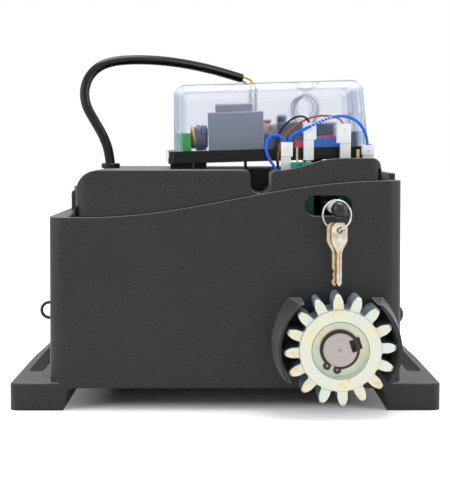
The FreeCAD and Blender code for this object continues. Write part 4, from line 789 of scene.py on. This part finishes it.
print_marks.bands_direction = "DIAGONAL"
print_marks.inputs["Scale"].default_value = 210.0
print_marks.inputs["Distortion"].default_value = 1.5
printing.links.new(print_place, print_marks.inputs["Vector"])
print_stroke = maths(printing, "GREATER_THAN", print_marks.outputs["Fac"], 0.80)
print_reach = maths(printing, "COMPARE", split(printing, print_place)["X"], print_middle_x,
                    print_half_length)
recolour(printing, maths(printing, "MULTIPLY", print_stroke, print_reach), (0.62, 0.70, 0.66))
wire("long_blue_lead", [
    (0.0428, -0.0555, 0.1770), (0.0432, -0.0576, 0.1814), (0.0466, -0.0598, 0.1842),
    (0.0520, -0.0614, 0.1866), (0.0576, -0.0622, 0.1894), (0.0638, -0.0624, 0.1924),
    (0.0710, -0.0620, 0.1952), (0.0780, -0.0612, 0.1960), (0.0844, -0.0602, 0.1946),
    (0.0896, -0.0590, 0.1914), (0.0932, -0.0578, 0.1868), (0.0952, -0.0564, 0.1812),
    (0.0960, -0.0555, 0.1750),
], 0.0010, printed_sheath, 0.0747, "object", ("blue_wire_long", "blue_pvc"))
wire("aerial_lead", [
    (0.0570, 0.0160, 0.1736), (0.0560, 0.0160, 0.1820), (0.0534, 0.0160, 0.1900),
    (0.0506, 0.0160, 0.1980), (0.0502, 0.0160, 0.2056), (0.0534, 0.0160, 0.2116),
    (0.0590, 0.0160, 0.2136), (0.0646, 0.0166, 0.2112), (0.0676, 0.0170, 0.2054),
    (0.0668, 0.0170, 0.1980), (0.0634, 0.0170, 0.1904), (0.0606, 0.0170, 0.1826),
    (0.0598, 0.0170, 0.1742),
], 0.0007, grey_sheath, 0.0897, "object", ("aerial_wire", "grey_pvc"))
# two more turns of the same coiled aerial wire
wire("aerial_turn_left", [
    (0.0566, 0.0166, 0.1742), (0.0548, 0.0172, 0.1830), (0.0516, 0.0176, 0.1910),
    (0.0488, 0.0176, 0.1990), (0.0484, 0.0176, 0.2060), (0.0514, 0.0176, 0.2110),
    (0.0566, 0.0178, 0.2128), (0.0616, 0.0180, 0.2118), (0.0646, 0.0182, 0.2076),
    (0.0640, 0.0182, 0.2000), (0.0606, 0.0182, 0.1920), (0.0586, 0.0180, 0.1840),
    (0.0582, 0.0178, 0.1760),
], 0.0005, grey_sheath, 0.0862, "object", ("aerial_wire", "grey_pvc"))
wire("aerial_turn_right", [
    (0.0590, 0.0178, 0.1742), (0.0580, 0.0190, 0.1830), (0.0560, 0.0196, 0.1910),
    (0.0532, 0.0200, 0.1990), (0.0522, 0.0200, 0.2060), (0.0550, 0.0200, 0.2112),
    (0.0600, 0.0198, 0.2130), (0.0654, 0.0196, 0.2112), (0.0688, 0.0192, 0.2050),
    (0.0684, 0.0188, 0.1980), (0.0650, 0.0186, 0.1904), (0.0616, 0.0184, 0.1826),
    (0.0602, 0.0182, 0.1752),
], 0.0005, grey_sheath, 0.0869, "object", ("aerial_wire", "grey_pvc"))
